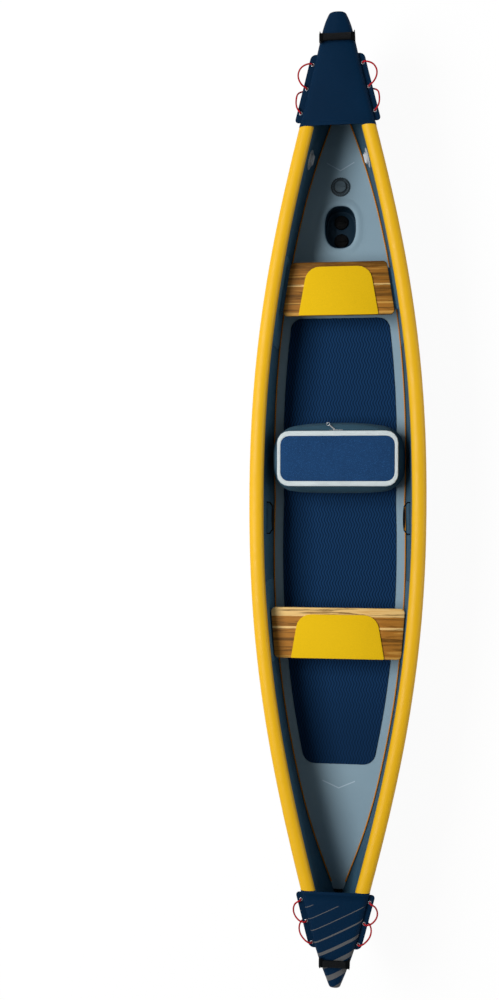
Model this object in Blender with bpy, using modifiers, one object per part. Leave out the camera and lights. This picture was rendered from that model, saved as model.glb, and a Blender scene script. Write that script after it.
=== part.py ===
"""Inflatable canoe with three seats, built as its separate pieces.

Two drop-stitch side chambers and a drop-stitch floor chamber make the hull, with a bottom skin
under them, gunwale trims, end caps, benches, a bag seat, valves, drain plugs and slide-in fins.
+Y points to the stern, +X to port and +Z up. The fins' tips are at Z = 0.
"""

import math

import bmesh
import bpy
from mathutils import Matrix, Vector

# Gaps between pieces that touch, and between skins that follow the hull's twist
GAP = 0.0003
SKIN_GAP = 0.001

# Hull outline, over the skins
HULL_LENGTH = 4.78
BEAM = 0.88
DEPTH = 0.40
SHEER_RISE = 0.098
PLAN_POWER = 2.2
PLAN_FULLNESS = 1.309
PLAN_END_HALF = 0.062
NOSE = {1: (0.92, 0.025, 4.0), -1: (0.88, 0.038, 2.2)}
STEM_HALF = 0.012
STEM_BLEND = 12
STEM_START = 0.6
STEM_CURVE = {1: (0.29, 0.42), -1: (0.396, 0.375)}
TIP_SETBACK = {1: (0.455, 0.008), -1: (0.396, 0.026)}
WALL_LEAN = 0.026
WALL_LEAN_LEAST = 0.005
WALL_LEAN_END = 0.45

# Panels and skins
PANEL = 0.072
SHOULDER = 0.028
TRIM = 0.003
SKIN = 0.003
SEAM_HEIGHT = 0.113
CHINE_WIDTH = 0.11
CHINE_HEIGHT = 0.10
FLOOR_HEIGHT = 0.12
FLOOR_END = {1: 0.875, -1: 0.88}

# End caps, in metres from amidships
CAP_EDGE = {1: 1.844, -1: 1.919}
CAP_HANG = 0.054
CAP_CROWN = 0.004
LOBE_RADIUS = 0.046
LOBE_DROP = 0.030
LOBE_FROM_TIP = {1: 0.108, -1: 0.113}

# Cord flaps on the caps' sides, with three eyelets each
FLAP_SPAN = {1: (1.869, 2.187), -1: (1.930, 2.199)}
FLAP_WIDTH = 0.030
FLAP_THICKNESS = 0.004
FLAP_CORNER = 0.016
FLAP_BELOW_TOP = 0.034
EYELET_AT = {1: (2.147, 2.032, 1.916), -1: (1.967, 2.071, 2.174)}
EYELET_INSET = 0.011
EYELET_RADIUS = 0.0048

# Grab cords: hand-chosen route points of the port cords, as X, Y and Z
CORD_DIAMETER = 0.007
CORD_STEP = 0.016
KNOT_RADIUS = 0.0075
STERN_CORD_ROUTE = [
    (0.1225, 2.147, 0.5745),
    (0.1225, 2.147, 0.5880),
    (0.1260, 2.146, 0.6050),
    (0.1400, 2.143, 0.6150),
    (0.1580, 2.137, 0.6175),
    (0.1760, 2.126, 0.6170),
    (0.1890, 2.106, 0.6150),
    (0.1920, 2.083, 0.6130),
    (0.1850, 2.060, 0.6110),
    (0.1720, 2.042, 0.6080),
    (0.1590, 2.034, 0.6020),
    (0.1525, 2.032, 0.5920),
    (0.1518, 2.032, 0.5799),
    (0.1540, 2.032, 0.5680),
    (0.1640, 2.030, 0.5600),
    (0.1780, 2.026, 0.5620),
    (0.1900, 2.018, 0.5720),
    (0.1990, 2.004, 0.5830),
    (0.2030, 1.984, 0.5890),
    (0.2040, 1.962, 0.5910),
    (0.2010, 1.942, 0.5920),
    (0.1930, 1.926, 0.5920),
    (0.1850, 1.918, 0.5860),
    (0.1820, 1.916, 0.5720),
    (0.1820, 1.916, 0.5585),
]
BOW_CORD_ROUTE = [
    (0.1687, -1.9651, 0.5620),
    (0.1687, -1.9651, 0.5754),
    (0.1700, -1.9660, 0.5880),
    (0.1790, -1.9700, 0.5960),
    (0.1920, -1.9780, 0.5940),
    (0.2010, -1.9930, 0.5850),
    (0.2060, -2.0120, 0.5760),
    (0.2050, -2.0320, 0.5720),
    (0.1970, -2.0490, 0.5760),
    (0.1830, -2.0610, 0.5880),
    (0.1660, -2.0670, 0.5990),
    (0.1510, -2.0690, 0.6000),
    (0.1425, -2.0680, 0.5935),
    (0.1417, -2.0675, 0.5826),
    (0.1440, -2.0675, 0.5700),
    (0.1540, -2.0690, 0.5630),
    (0.1670, -2.0760, 0.5650),
    (0.1750, -2.0900, 0.5760),
    (0.1760, -2.1080, 0.5900),
    (0.1680, -2.1280, 0.6030),
    (0.1530, -2.1450, 0.6110),
    (0.1370, -2.1580, 0.6140),
    (0.1220, -2.1660, 0.6110),
    (0.1140, -2.1682, 0.6020),
    (0.1132, -2.1683, 0.5901),
    (0.1132, -2.1683, 0.5765),
]

# Carry handles on the end caps. Each turns about the foot of its loops that lies nearest the tip
HANDLE_FROM_TIP = 0.112
HANDLE_AT = HULL_LENGTH / 2 - HANDLE_FROM_TIP
HANDLE_LENGTH = {1: 0.075, -1: 0.095}
HANDLE_LEG = {1: 0.024, -1: 0.020}
HANDLE_RISE = {1: 0.040, -1: 0.045}
HANDLE_GRIP = {1: (0.0, 0.038), -1: (-0.006, 0.036)}
HANDLE_BAR = 0.015
HANDLE_STRAP = 0.004
HANDLE_LOOP_THICKNESS = 0.010
HANDLE_TUCK = 0.0015
HANDLE_BELOW_DECK = 0.004
HANDLE_FOOT_CHAMFER = 0.004
HANDLE_ARCH_CHAMFER = 0.005
HANDLE_STRAP_MARGIN = 0.002
GRIP_EDGES = (0.003, 0.003, 0.005, 0.005)

# Carry handles on the side walls
SIDE_HANDLE_AT = -0.085
SIDE_HANDLE_LENGTH = 0.163
SIDE_HANDLE_REACH = 0.032
SIDE_HANDLE_WIDTH = 0.018
SIDE_HANDLE_STRAP = 0.004
SIDE_HANDLE_HEIGHT = 0.285
SIDE_HANDLE_SLOPE = 0.022
SIDE_HANDLE_FOOT = 0.006

# Piping along the floor's edges
PIPING_RADIUS = 0.0035
PIPING_MARGIN = 0.0012
PIPING_END = {1: 0.85, -1: 0.86}

# Deck pad
PAD_SPAN = (-1.364, 0.951)
PAD_MARGIN = 0.051
PAD_THICKNESS = 0.005
PAD_CORNER = 0.052

# Benches: the seat board, its pad and its two supports
SEAT_TOP = 0.300
BOARD_THICKNESS = 0.022
BOARD_CORNER = 0.022
SEAT_PAD_THICKNESS = 0.006
SEAT_PAD_CORNER = 0.075
SEATS = {
    "stern": {
        "board": (0.938, 1.207),
        "board_half": (0.284, 0.2408),
        "pad": (0.9385, 1.183),
        "pad_half": (0.2010, 0.1580),
        "patch": (0.788, 1.235),
    },
    "bow": {
        "board": (-0.7935, -0.5375),
        "board_half": (0.3185, 0.3385),
        "pad": (-0.793, -0.5715),
        "pad_half": (0.2345, 0.1970),
        "patch": (-0.811, -0.400),
    },
}
PATCH_THICKNESS = 0.003
PATCH_FROM = 0.133
PATCH_BELOW_TOP = 0.012
LEDGE_REACH = 0.050
LEDGE_HEIGHT = 0.022
LEDGE_INSET = 0.030

# Bag seat amidships
BAG_CENTRE_Y = 0.213
BAG_TOP = (0.602, 0.276)
BAG_BULGE = 0.030
BAG_BAND = 0.9
BAG_HEIGHT = 0.250
BAG_WALL = 0.012
BAG_CORNER = 0.060
LID_THICKNESS = 0.010
LID_CROWN = 0.005
LID_CROWN_INSET = 0.035
BINDING_SIDE = 0.025
BINDING_END = 0.017
BINDING_ROUND = 0.003
SLIDER_SIZE = (0.050, 0.006, 0.012)
SLIDER_BELOW_TOP = 0.014
PULL_RADIUS = 0.009
PULL_WIRE = 0.0018

# Inflation valves
FLOOR_VALVE_AT = 1.632
SIDE_VALVE_AT = 1.73
SIDE_VALVE_HEIGHT = 0.285
VALVE_FLANGE = 0.049
VALVE_FLANGE_THICKNESS = 0.005
VALVE_BARREL = 0.027
VALVE_DEPTH = 0.040
VALVE_BORE = 0.018
VALVE_FLOOR = 0.004
VALVE_CAP = 0.030
VALVE_CAP_HEIGHT = 0.012
VALVE_NECK_HEIGHT = 0.003
VALVE_CAP_WALL = 0.004
VALVE_EDGE = 0.002
VALVE_TAB = (0.045, 0.007, 0.008)
PLUNGER_STEM = 0.004
PLUNGER_HEAD = 0.009
PLUNGER_HEAD_THICKNESS = 0.003
PLUNGER_TRAVEL = 0.006
PLUNGER_TIP = 0.001
STEM_CLEARANCE = 0.0003
SEAT_RECESS = 0.003

# Self-bailing drain
DRAIN_CENTRE_Y = 1.425
DRAIN_SIZE = (0.16, 0.22)
DRAIN_PLATE = 0.004
DRAIN_PLUG_AT = (1.376, 1.474)
PLUG_RADIUS = 0.0375
PLUG_HEIGHT = 0.010
PLUG_GRIP = (0.046, 0.009, 0.009)
PLUG_STEM = 0.0195
PLUG_EDGE = 0.003
PLUG_ABOVE_FLOOR = 0.001

# Slide-in fins
FIN_DEPTH = 0.143
FIN_BASES = {"stern": 1.05, "bow": -0.756}
FIN_BASE = 0.162
FIN_THICKNESS = 0.008
FIN_SHAPE = [
    (0.030, 0.42),
    (0.085, 0.76),
    (0.150, 0.93),
    (0.215, 1.00),
    (0.300, 1.00),
    (0.322, 0.955),
    (0.318, 0.86),
    (0.262, 0.68),
    (0.205, 0.40),
    (0.172, 0.16),
]
FIN_BOX = (0.056, 0.190, 0.016)
FIN_FOOT = (0.014, 0.150, 0.0044)
FIN_FOOT_BELOW = 0.003
NECK_INSET = 0.001

# Guard strips on the stems
GUARD_HALF = 0.0115
GUARD_THICKNESS = 0.003
GUARD_TOP = {1: 0.263, -1: 0.440}
GUARD_ALONG_KEEL = 0.03

KEEL_Z = FIN_DEPTH
COLLECTION_NAME = "inflatable_canoe"
CUTTER_COLLECTION_NAME = "cutters"

YELLOW = (0.79, 0.45, 0.012)
NAVY = (0.003, 0.026, 0.072)
FLOOR_GREY = (0.27, 0.38, 0.46)
WALL_BLUE = (0.028, 0.09, 0.16)
BOTTOM_BLUE = (0.047, 0.091, 0.133)
PAD_BLUE = (0.006, 0.032, 0.105)
ORANGE = (0.58, 0.19, 0.01)
WOOD = (0.33, 0.13, 0.03)
SEAT_YELLOW = (0.80, 0.51, 0.01)
BAG_BLUE = (0.011, 0.051, 0.162)
BAG_BODY = (0.018, 0.05, 0.084)
BINDING_GREY = (0.58, 0.68, 0.72)
BLACK = (0.004, 0.005, 0.007)
RED = (0.58, 0.007, 0.023)
PALE_GREY = (0.55, 0.58, 0.60)

STATION_COUNT = 16
STATION_SPREAD = 1.6
STATIONS = [1 - (1 - i / STATION_COUNT) ** STATION_SPREAD for i in range(STATION_COUNT + 1)]


def clear_scene():
    for obj in list(bpy.data.objects):
        bpy.data.objects.remove(obj, do_unlink=True)


def make_collection(name):
    collection = bpy.data.collections.new(name)
    bpy.context.scene.collection.children.link(collection)
    return collection


def add_finish(obj, colour, roughness, metallic=0.0):
    material = bpy.data.materials.new(obj.name + "_finish")
    material.use_nodes = True
    shader = material.node_tree.nodes["Principled BSDF"]
    shader.inputs["Base Color"].default_value = (*colour, 1.0)
    shader.inputs["Roughness"].default_value = roughness
    shader.inputs["Metallic"].default_value = metallic
    material.diffuse_color = (*colour, 1.0)
    obj.data.materials.clear()
    obj.data.materials.append(material)


def mesh_from(name, work):
    """A mesh datablock from a bmesh whose faces are turned outwards."""
    bmesh.ops.recalc_face_normals(work, faces=work.faces)
    mesh = bpy.data.meshes.new(name)
    work.to_mesh(mesh)
    work.free()
    return mesh


def add_piece(name, data, colour, roughness, parent, location=(0, 0, 0), metallic=0.0, smooth=True):
    obj = bpy.data.objects.new(name, data)
    bpy.data.collections[COLLECTION_NAME].objects.link(obj)
    obj.location = location
    obj.parent = parent
    add_finish(obj, colour, roughness, metallic)
    if smooth and obj.type == "MESH":
        data.shade_smooth()
        data.set_sharp_from_angle(angle=math.radians(35))
    return obj


def add_cutter(name, data, location=(0, 0, 0)):
    cutter = bpy.data.objects.new(name, data)
    bpy.data.collections[CUTTER_COLLECTION_NAME].objects.link(cutter)
    cutter.location = location
    cutter.hide_render = True
    cutter.display_type = "WIRE"
    return cutter


def cut(obj, cutter, operation="DIFFERENCE"):
    modifier = obj.modifiers.new(operation.lower() + "_" + cutter.name, "BOOLEAN")
    modifier.operation = operation
    modifier.solver = "EXACT"
    modifier.object = cutter


def faceted(smooth_value, u):
    """The value that the hull's flat stretches between two stations have at u."""
    end = 1 if u >= 0 else -1
    t = min(abs(u), 1.0)
    for low, high in zip(STATIONS, STATIONS[1:]):
        if t <= high:
            share = (t - low) / (high - low)
            return smooth_value(end, low) * (1 - share) + smooth_value(end, high) * share
    return smooth_value(end, 1.0)


def smooth_half_beam(end, t):
    start, drop, power = NOSE[end]
    full = PLAN_END_HALF + (BEAM / 2 - PLAN_END_HALF) * (1 - t**PLAN_POWER) ** PLAN_FULLNESS
    return full - drop * max(0.0, (t - start) / (1 - start)) ** power


def smooth_sheer(end, t):
    return DEPTH + SHEER_RISE * t * t


def smooth_lean(end, t):
    middle = WALL_LEAN * max(0.0, 1 - t / WALL_LEAN_END) ** 1.3 + WALL_LEAN_LEAST
    at_end = smooth_half_beam(end, t) - STEM_HALF
    return middle * (1 - t**STEM_BLEND) + at_end * t**STEM_BLEND


def smooth_stem_share(end, t):
    share = max(0.0, (t - STEM_START) / (1 - STEM_START))
    return share * share * (3 - 2 * share)


def half_beam(u):
    return faceted(smooth_half_beam, u)


def sheer(u):
    """The gunwale's height over the keel."""
    return faceted(smooth_sheer, u)


def lean(u):
    return faceted(smooth_lean, u)


def stem_inset(height, end):
    """How far the stem stands in from the tip at a height over the keel."""
    rise, reach = STEM_CURVE[end]
    top, setback = TIP_SETBACK[end]
    below = min(1.0, max(0.0, 1 - height / rise))
    above = max(0.0, (height - top) / (DEPTH + SHEER_RISE - top))
    return reach * (1 - math.sqrt(1 - below * below)) + setback * above * above


def place(u, x, height, stem_height=None):
    """The point at station u, half-width x and height over the keel.

    A piece inside another skin gives the skin's height there as stem_height, to keep its distance.
    """
    end = 1 if u >= 0 else -1
    rise = height if stem_height is None else stem_height
    inset = stem_inset(rise, end) * faceted(smooth_stem_share, u)
    return Vector((x, u * HULL_LENGTH / 2 - end * inset, KEEL_Z + height))


def station_at(y):
    return y / (HULL_LENGTH / 2)


def short_of_tip(u, depth):
    """The station itself, or at a tip the one that lies a depth inside it."""
    return u if abs(u) < 1 else u * (1 - depth / (HULL_LENGTH / 2))


def stations_between(low, high, extra=()):
    """The hull's stations inside a stretch, with its two ends and any further ones."""
    inside = [end * t for end in (1, -1) for t in STATIONS if low < end * t < high]
    return sorted({low, high, *inside, *(u for u in extra if low < u < high)})


def outer_x(u, height):
    """The hull's outermost half-width at a height over the seam."""
    top = sheer(u) - SHOULDER
    share = min(1.0, max(0.0, (top - height) / (top - SEAM_HEIGHT)))
    return half_beam(u) - lean(u) * share


def inner_x(u, height):
    """The half-width of a side chamber's inner wall."""
    return max(GAP, outer_x(u, height) - PANEL + TRIM + SKIN_GAP)


def floor_half(u):
    return inner_x(u, SEAM_HEIGHT) - SKIN_GAP


def shoulder(u):
    """The centre and radius of a side chamber's rounded top."""
    top = sheer(u) - SHOULDER
    out, inside = outer_x(u, top) - TRIM - SKIN_GAP, inner_x(u, top)
    return (out + inside) / 2, (out - inside) / 2


def thick_sheet(name, outer, inner, close_start=False, close_end=False):
    """A closed skin from two grids of points. A closed end joins each row's two halves."""
    work = bmesh.new()
    grids = [[[work.verts.new(p) for p in row] for row in grid] for grid in (outer, inner)]
    rows, count = len(outer), len(outer[0])
    for grid in grids:
        for i in range(rows - 1):
            for k in range(count - 1):
                a, b = grid[i], grid[i + 1]
                work.faces.new((a[k], a[k + 1], b[k + 1], b[k]))
    out, inside = grids
    for i in range(rows - 1):
        for k in (0, count - 1):
            work.faces.new((out[i][k], out[i + 1][k], inside[i + 1][k], inside[i][k]))
    for row, closed in ((0, close_start), (rows - 1, close_end)):
        if closed:
            for grid in grids:
                close_across(work, grid[row])
            work.faces.new((out[row][0], out[row][-1], inside[row][-1], inside[row][0]))
        else:
            for k in range(count - 1):
                work.faces.new((out[row][k], out[row][k + 1], inside[row][k + 1], inside[row][k]))
    return mesh_from(name, work)


def close_across(work, row):
    """Faces from each point of a row's first half to its mirror point."""
    low, high = 0, len(row) - 1
    while high - low > 2:
        work.faces.new((row[low], row[low + 1], row[high - 1], row[high]))
        low, high = low + 1, high - 1
    if high - low == 2:
        work.faces.new(row[low : high + 1])


def ring_loft(name, rings):
    """A closed solid from rings of as many points, with its first and last ring filled."""
    work = bmesh.new()
    rows = [[work.verts.new(p) for p in ring] for ring in rings]
    count = len(rows[0])
    for a, b in zip(rows, rows[1:]):
        for k in range(count):
            n = (k + 1) % count
            work.faces.new((a[k], a[n], b[n], b[k]))
    work.faces.new(rows[0])
    work.faces.new(rows[-1])
    return mesh_from(name, work)


def closed_ring_loft(name, rings):
    """A closed ring-shaped solid, whose last ring of points joins its first."""
    work = bmesh.new()
    rows = [[work.verts.new(p) for p in ring] for ring in rings]
    count = len(rows[0])
    for a, b in zip(rows, rows[1:] + rows[:1]):
        for k in range(count):
            n = (k + 1) % count
            work.faces.new((a[k], a[n], b[n], b[k]))
    return mesh_from(name, work)


def box_mesh(name, size, centre=(0, 0, 0)):
    work = bmesh.new()
    bmesh.ops.create_cube(work, size=1.0)
    bmesh.ops.scale(work, vec=size, verts=work.verts)
    bmesh.ops.translate(work, vec=centre, verts=work.verts)
    return mesh_from(name, work)


def cylinder_mesh(name, radius, low, high, segments=24):
    work = bmesh.new()
    bmesh.ops.create_cone(
        work, cap_ends=True, segments=segments, radius1=radius, radius2=radius, depth=high - low
    )
    bmesh.ops.translate(work, vec=(0, 0, (low + high) / 2), verts=work.verts)
    return mesh_from(name, work)


def turned_mesh(name, profile, segments=24):
    """A mesh that the profile's radius and height points sweep around Z."""
    work = bmesh.new()
    verts = [work.verts.new((radius, 0, height)) for radius, height in profile]
    edges = [work.edges.new(pair) for pair in zip(verts, verts[1:])]
    if profile[0][0] > 0:
        edges.append(work.edges.new((verts[-1], verts[0])))
    bmesh.ops.spin(
        work, geom=verts + edges, angle=math.tau, steps=segments, axis=(0, 0, 1), use_merge=True
    )
    bmesh.ops.remove_doubles(work, verts=work.verts, dist=0.00001)
    return mesh_from(name, work)


def outline_plate(name, points, thickness):
    """A flat plate from a 2D curve: its outline's points, spread half a thickness each way."""
    curve = bpy.data.curves.new(name, "CURVE")
    curve.dimensions = "2D"
    curve.fill_mode = "BOTH"
    curve.extrude = thickness / 2
    spline = curve.splines.new("POLY")
    spline.points.add(len(points) - 1)
    for point, (x, y) in zip(spline.points, points):
        point.co = (x, y, 0, 1)
    spline.use_cyclic_u = True
    return curve


def curve_to_mesh(name, curve, matrix):
    """The curve's solid as a mesh with its caps welded, moved by a matrix."""
    holder = bpy.data.objects.new(name + "_holder", curve)
    bpy.context.scene.collection.objects.link(holder)
    bpy.context.view_layer.update()
    graph = bpy.context.evaluated_depsgraph_get()
    mesh = bpy.data.meshes.new_from_object(holder.evaluated_get(graph))
    bpy.data.objects.remove(holder)
    work = bmesh.new()
    work.from_mesh(mesh)
    bpy.data.meshes.remove(mesh)
    bmesh.ops.remove_doubles(work, verts=work.verts, dist=0.00001)
    bmesh.ops.transform(work, matrix=matrix, verts=work.verts)
    return mesh_from(name, work)


def rounded_outline(corners, radii, steps=5):
    """The outline of a polygon whose corners, listed anticlockwise, are rounded."""
    points = []
    for i, corner in enumerate(corners):
        here = Vector(corner)
        back = (Vector(corners[i - 1]) - here).normalized()
        ahead = (Vector(corners[(i + 1) % len(corners)]) - here).normalized()
        half = back.angle(ahead) / 2
        radius = radii[i]
        if radius == 0:
            points.append(tuple(here))
            continue
        start, stop = here + back * radius / math.tan(half), here + ahead * radius / math.tan(half)
        centre = here + (back + ahead).normalized() * radius / math.sin(half)
        first, last = start - centre, stop - centre
        sweep = first.angle(last)
        for k in range(steps + 1):
            share = k / steps
            a = math.sin((1 - share) * sweep) / math.sin(sweep)
            b = math.sin(share * sweep) / math.sin(sweep)
            points.append(tuple(centre + first * a + last * b))
    return points


def rounded_ring(width, depth, corner, z, steps=4):
    """A level ring of points: a rectangle with round corners."""
    x, y = width / 2, depth / 2
    corners = [(x, y), (-x, y), (-x, -y), (x, -y)]
    return [(px, py, z) for px, py in rounded_outline(corners, [corner] * 4, steps)]


def smooth_route(points, step):
    """Evenly spaced points along the Catmull-Rom curve through a route's own points."""
    ends = [points[0]] + points + [points[-1]]
    fine = []
    for a, b, c, d in zip(ends, ends[1:], ends[2:], ends[3:]):
        a, b, c, d = (Vector(p) for p in (a, b, c, d))
        for k in range(10):
            s = k / 10
            fine.append(
                0.5
                * (
                    2 * b
                    + (c - a) * s
                    + (2 * a - 5 * b + 4 * c - d) * s * s
                    + (3 * b - a - 3 * c + d) * s**3
                )
            )
    fine.append(Vector(points[-1]))
    lengths = [(q - p).length for p, q in zip(fine, fine[1:])]
    total = sum(lengths)
    count = max(2, round(total / step))
    spaced, travelled, i = [fine[0]], 0.0, 0
    for k in range(1, count):
        target = total * k / count
        while travelled + lengths[i] < target:
            travelled += lengths[i]
            i += 1
        share = (target - travelled) / lengths[i]
        spaced.append(fine[i].lerp(fine[i + 1], share))
    return spaced + [fine[-1]]


def tube_curve(name, points, radius, resolution):
    curve = bpy.data.curves.new(name, "CURVE")
    curve.dimensions = "3D"
    curve.bevel_depth = radius
    curve.bevel_resolution = resolution
    curve.use_fill_caps = True
    spline = curve.splines.new("POLY")
    spline.points.add(len(points) - 1)
    for point, co in zip(spline.points, points):
        point.co = (*co, 1)
    return curve


SHOULDER_ANGLES = [math.radians(a) for a in (30, 60, 82)]
WALL_SHARES = (0.0, 0.12, 0.3, 0.6, 1.0)


def wall_heights(u):
    """The heights of a side chamber's rows of points, from its foot to its shoulder."""
    foot = SEAM_HEIGHT + GAP
    top = sheer(u) - SHOULDER
    return [foot + (top - foot) * share for share in WALL_SHARES]


def chamber_rows(side, u):
    """One station's points up a side chamber's outer wall and up its inner wall."""
    top = sheer(u) - SHOULDER
    centre, radius = shoulder(u)
    outer, inner = [], []
    for height in wall_heights(u):
        outer.append((outer_x(u, height) - TRIM - SKIN_GAP, height))
        inner.append((inner_x(u, height), height))
    for angle in SHOULDER_ANGLES:
        height = top + (SHOULDER - TRIM - SKIN_GAP) * math.sin(angle)
        outer.append((centre + radius * math.cos(angle), height))
        inner.append((centre - radius * math.cos(angle), height))
    return ([place(u, side * x, h) for x, h in row] for row in (outer, inner))


def build_side_chambers(hull):
    for name, side in (("port", 1), ("starboard", -1)):
        stations = [short_of_tip(u, TRIM + SKIN_GAP) for u in stations_between(-1, 1)]
        rows = [chamber_rows(side, u) for u in stations]
        outer, inner = zip(*rows)
        mesh = thick_sheet(name + "_side_chamber", outer, inner)
        chamber = add_piece(name + "_side_chamber", mesh, WALL_BLUE, 0.55, hull)
        cutter = add_cutter(name + "_valve_hole", valve_hole_mesh(name + "_valve_hole", SEAT_RECESS))
        cutter.matrix_world = side_valve_matrix(side)
        cut(chamber, cutter)


def bottom_row(u, offset, rim):
    """A port row round the chine: half-widths, heights and the outer skin's heights there."""
    half = outer_x(u, SEAM_HEIGHT) - offset
    chine = min(CHINE_WIDTH, 0.8 * outer_x(u, SEAM_HEIGHT)) - offset
    port = [(half, rim, rim), (half, CHINE_HEIGHT, CHINE_HEIGHT)]
    for angle in (25, 50, 72, 90):
        across, down = math.cos(math.radians(angle)), math.sin(math.radians(angle))
        height = CHINE_HEIGHT - (CHINE_HEIGHT - offset) * down
        port.append((half - chine + chine * across, height, CHINE_HEIGHT * (1 - down)))
    return port


def mirrored(port):
    """A port row of points and its starboard mirror."""
    return port + [(-x, *heights) for x, *heights in reversed(port)]


def build_bottom_skin(hull):
    outer, inner = [], []
    for u in stations_between(-1, 1):
        outer.append([place(u, *point) for point in mirrored(bottom_row(u, 0, SEAM_HEIGHT))])
        inside = short_of_tip(u, SKIN)
        row = mirrored(bottom_row(inside, SKIN, SEAM_HEIGHT))
        inner.append([place(inside, *point) for point in row])
    mesh = thick_sheet("hull_bottom_skin", outer, inner, True, True)
    skin = add_piece("hull_bottom_skin", mesh, BOTTOM_BLUE, 0.6, hull)
    for i, y in enumerate(DRAIN_PLUG_AT):
        name = f"drain_hole_{i + 1}"
        hole = cylinder_mesh(name, PLUG_STEM + GAP, -0.01, 0.03)
        cut(skin, add_cutter(name, hole, (0, y, KEEL_Z)))


def build_floor_chamber(hull):
    under, over = [], []
    low, high = -FLOOR_END[-1], FLOOR_END[1]
    for u in stations_between(low, high):
        half = floor_half(u)
        rim = SEAM_HEIGHT - GAP
        chine = bottom_row(u, SKIN + SKIN_GAP, rim)[1:]
        flat = chine[-1][0]
        port = chine + [(flat * share, *chine[-1][1:]) for share in (0.6, 0.25)]
        under.append([place(u, *point) for point in mirrored(port)])
        ledge = chine[0][0] - half
        port = [(half + ledge * share, rim, rim) for share in (1, 0.66, 0.33, 0)]
        port += [(half * share, FLOOR_HEIGHT, rim) for share in (1, 0.6, 0.25)]
        over.append([place(u, *point) for point in mirrored(port)])
    mesh = thick_sheet("floor_chamber", under, over)
    floor = add_piece("floor_chamber", mesh, FLOOR_GREY, 0.6, hull)
    drain = cylinder_mesh("drain_recess", 0.5, -0.02, 0.16, 32)
    drain.transform(Matrix.Diagonal((DRAIN_SIZE[0], DRAIN_SIZE[1], 1, 1)))
    cut(floor, add_cutter("drain_recess", drain, (0, DRAIN_CENTRE_Y, KEEL_Z)))
    hole = add_cutter("floor_valve_hole", valve_hole_mesh("floor_valve_hole", 0))
    hole.location = (0, FLOOR_VALVE_AT, KEEL_Z + FLOOR_HEIGHT)
    cut(floor, hole)


def trim_row(side, u, offset):
    top = sheer(u) - SHOULDER
    centre, radius = shoulder(u)
    reach = radius + TRIM + SKIN_GAP - offset
    rise = SHOULDER - offset
    angles = [0.0] + SHOULDER_ANGLES
    angles += [math.pi - a for a in reversed(angles)]
    points = [(centre + reach * math.cos(a), top + rise * math.sin(a)) for a in angles]
    return [place(u, side * x, h) for x, h in points]


def build_gunwale_trims(hull):
    low, high = station_at(GAP - CAP_EDGE[-1]), station_at(CAP_EDGE[1] - GAP)
    for name, side in (("port", 1), ("starboard", -1)):
        stations = stations_between(low, high)
        outer = [trim_row(side, u, 0) for u in stations]
        inner = [trim_row(side, u, TRIM) for u in stations]
        mesh = thick_sheet(name + "_gunwale_trim", outer, inner)
        add_piece(name + "_gunwale_trim", mesh, YELLOW, 0.45, hull)


def cap_hang(end, u):
    """How far the cap hangs down the side, with the round lobe under the carry handle."""
    away = abs((1 - abs(u)) * HULL_LENGTH / 2 - LOBE_FROM_TIP[end]) / LOBE_RADIUS
    return CAP_HANG + LOBE_DROP * math.sqrt(max(0.0, 1 - away * away))


def cap_row(end, u, offset):
    top = sheer(u) - SHOULDER
    centre, radius = shoulder(u)
    low = sheer(u) - cap_hang(end, u)
    reach = radius + TRIM + SKIN_GAP - offset
    port = [(outer_x(u, low) - offset, low), (outer_x(u, top) - offset, top)]
    for angle in SHOULDER_ANGLES:
        height = top + (SHOULDER - offset) * math.sin(angle)
        port.append((centre + reach * math.cos(angle), height))
    port.append((centre * 0.4, sheer(u) - offset + CAP_CROWN))
    return mirrored(port)


def build_end_caps(hull):
    for name, end in (("stern", 1), ("bow", -1)):
        middle = HULL_LENGTH / 2 - LOBE_FROM_TIP[end]
        lobe = [middle + LOBE_RADIUS * math.cos(math.radians(a)) for a in range(0, 181, 30)]
        extra = [end * station_at(y) for y in lobe]
        edge = end * station_at(CAP_EDGE[end])
        stations = stations_between(min(edge, end), max(edge, end), extra)
        outer, inner = [], []
        for u in stations:
            inside = short_of_tip(u, TRIM)
            outer.append([place(u, x, h) for x, h in cap_row(end, u, 0)])
            inner.append([place(inside, x, h) for x, h in cap_row(end, inside, TRIM)])
        mesh = thick_sheet(name + "_end_cap", outer, inner, end < 0, end > 0)
        add_piece(name + "_end_cap", mesh, NAVY, 0.5, hull)


def flap_height(u):
    return sheer(u) - FLAP_BELOW_TOP


def eyelet_point(end, side, y):
    u = end * station_at(y)
    height = flap_height(u)
    return place(u, side * (outer_x(u, height) + SKIN_GAP + EYELET_INSET), height)


def build_cord_flaps(hull):
    corner_share = [0.0, 0.13, 0.5, 1.0]
    for name, end in (("stern", 1), ("bow", -1)):
        low, high = FLAP_SPAN[end]
        rounding = [low + FLAP_CORNER * s for s in corner_share]
        rounding += [high - FLAP_CORNER * s for s in corner_share]
        extra = [end * station_at(y) for y in rounding]
        ends = sorted(end * station_at(y) for y in (low, high))
        for side_name, side in (("port", 1), ("starboard", -1)):
            over, under = [], []
            for u in stations_between(ends[0], ends[1], extra):
                y = abs(u) * HULL_LENGTH / 2
                near = max(0.0, 1 - min(y - low, high - y) / FLAP_CORNER)
                drop = FLAP_CORNER * (1 - math.sqrt(1 - min(1.0, near) ** 2))
                height = flap_height(u)
                edge = outer_x(u, height - FLAP_THICKNESS / 2) + SKIN_GAP
                across = (edge, edge + FLAP_WIDTH - drop)
                half = FLAP_THICKNESS / 2
                over.append([place(u, side * x, height + half) for x in across])
                under.append([place(u, side * x, height - half) for x in across])
            piece = f"{name}_{side_name}_cord_flap"
            flap = add_piece(piece, thick_sheet(piece, over, under), NAVY, 0.5, hull)
            for i, y in enumerate(EYELET_AT[end]):
                hole = f"{piece}_eyelet_{i + 1}"
                mesh = cylinder_mesh(hole, EYELET_RADIUS, -0.01, 0.01, 12)
                cut(flap, add_cutter(hole, mesh, eyelet_point(end, side, y)))


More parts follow.
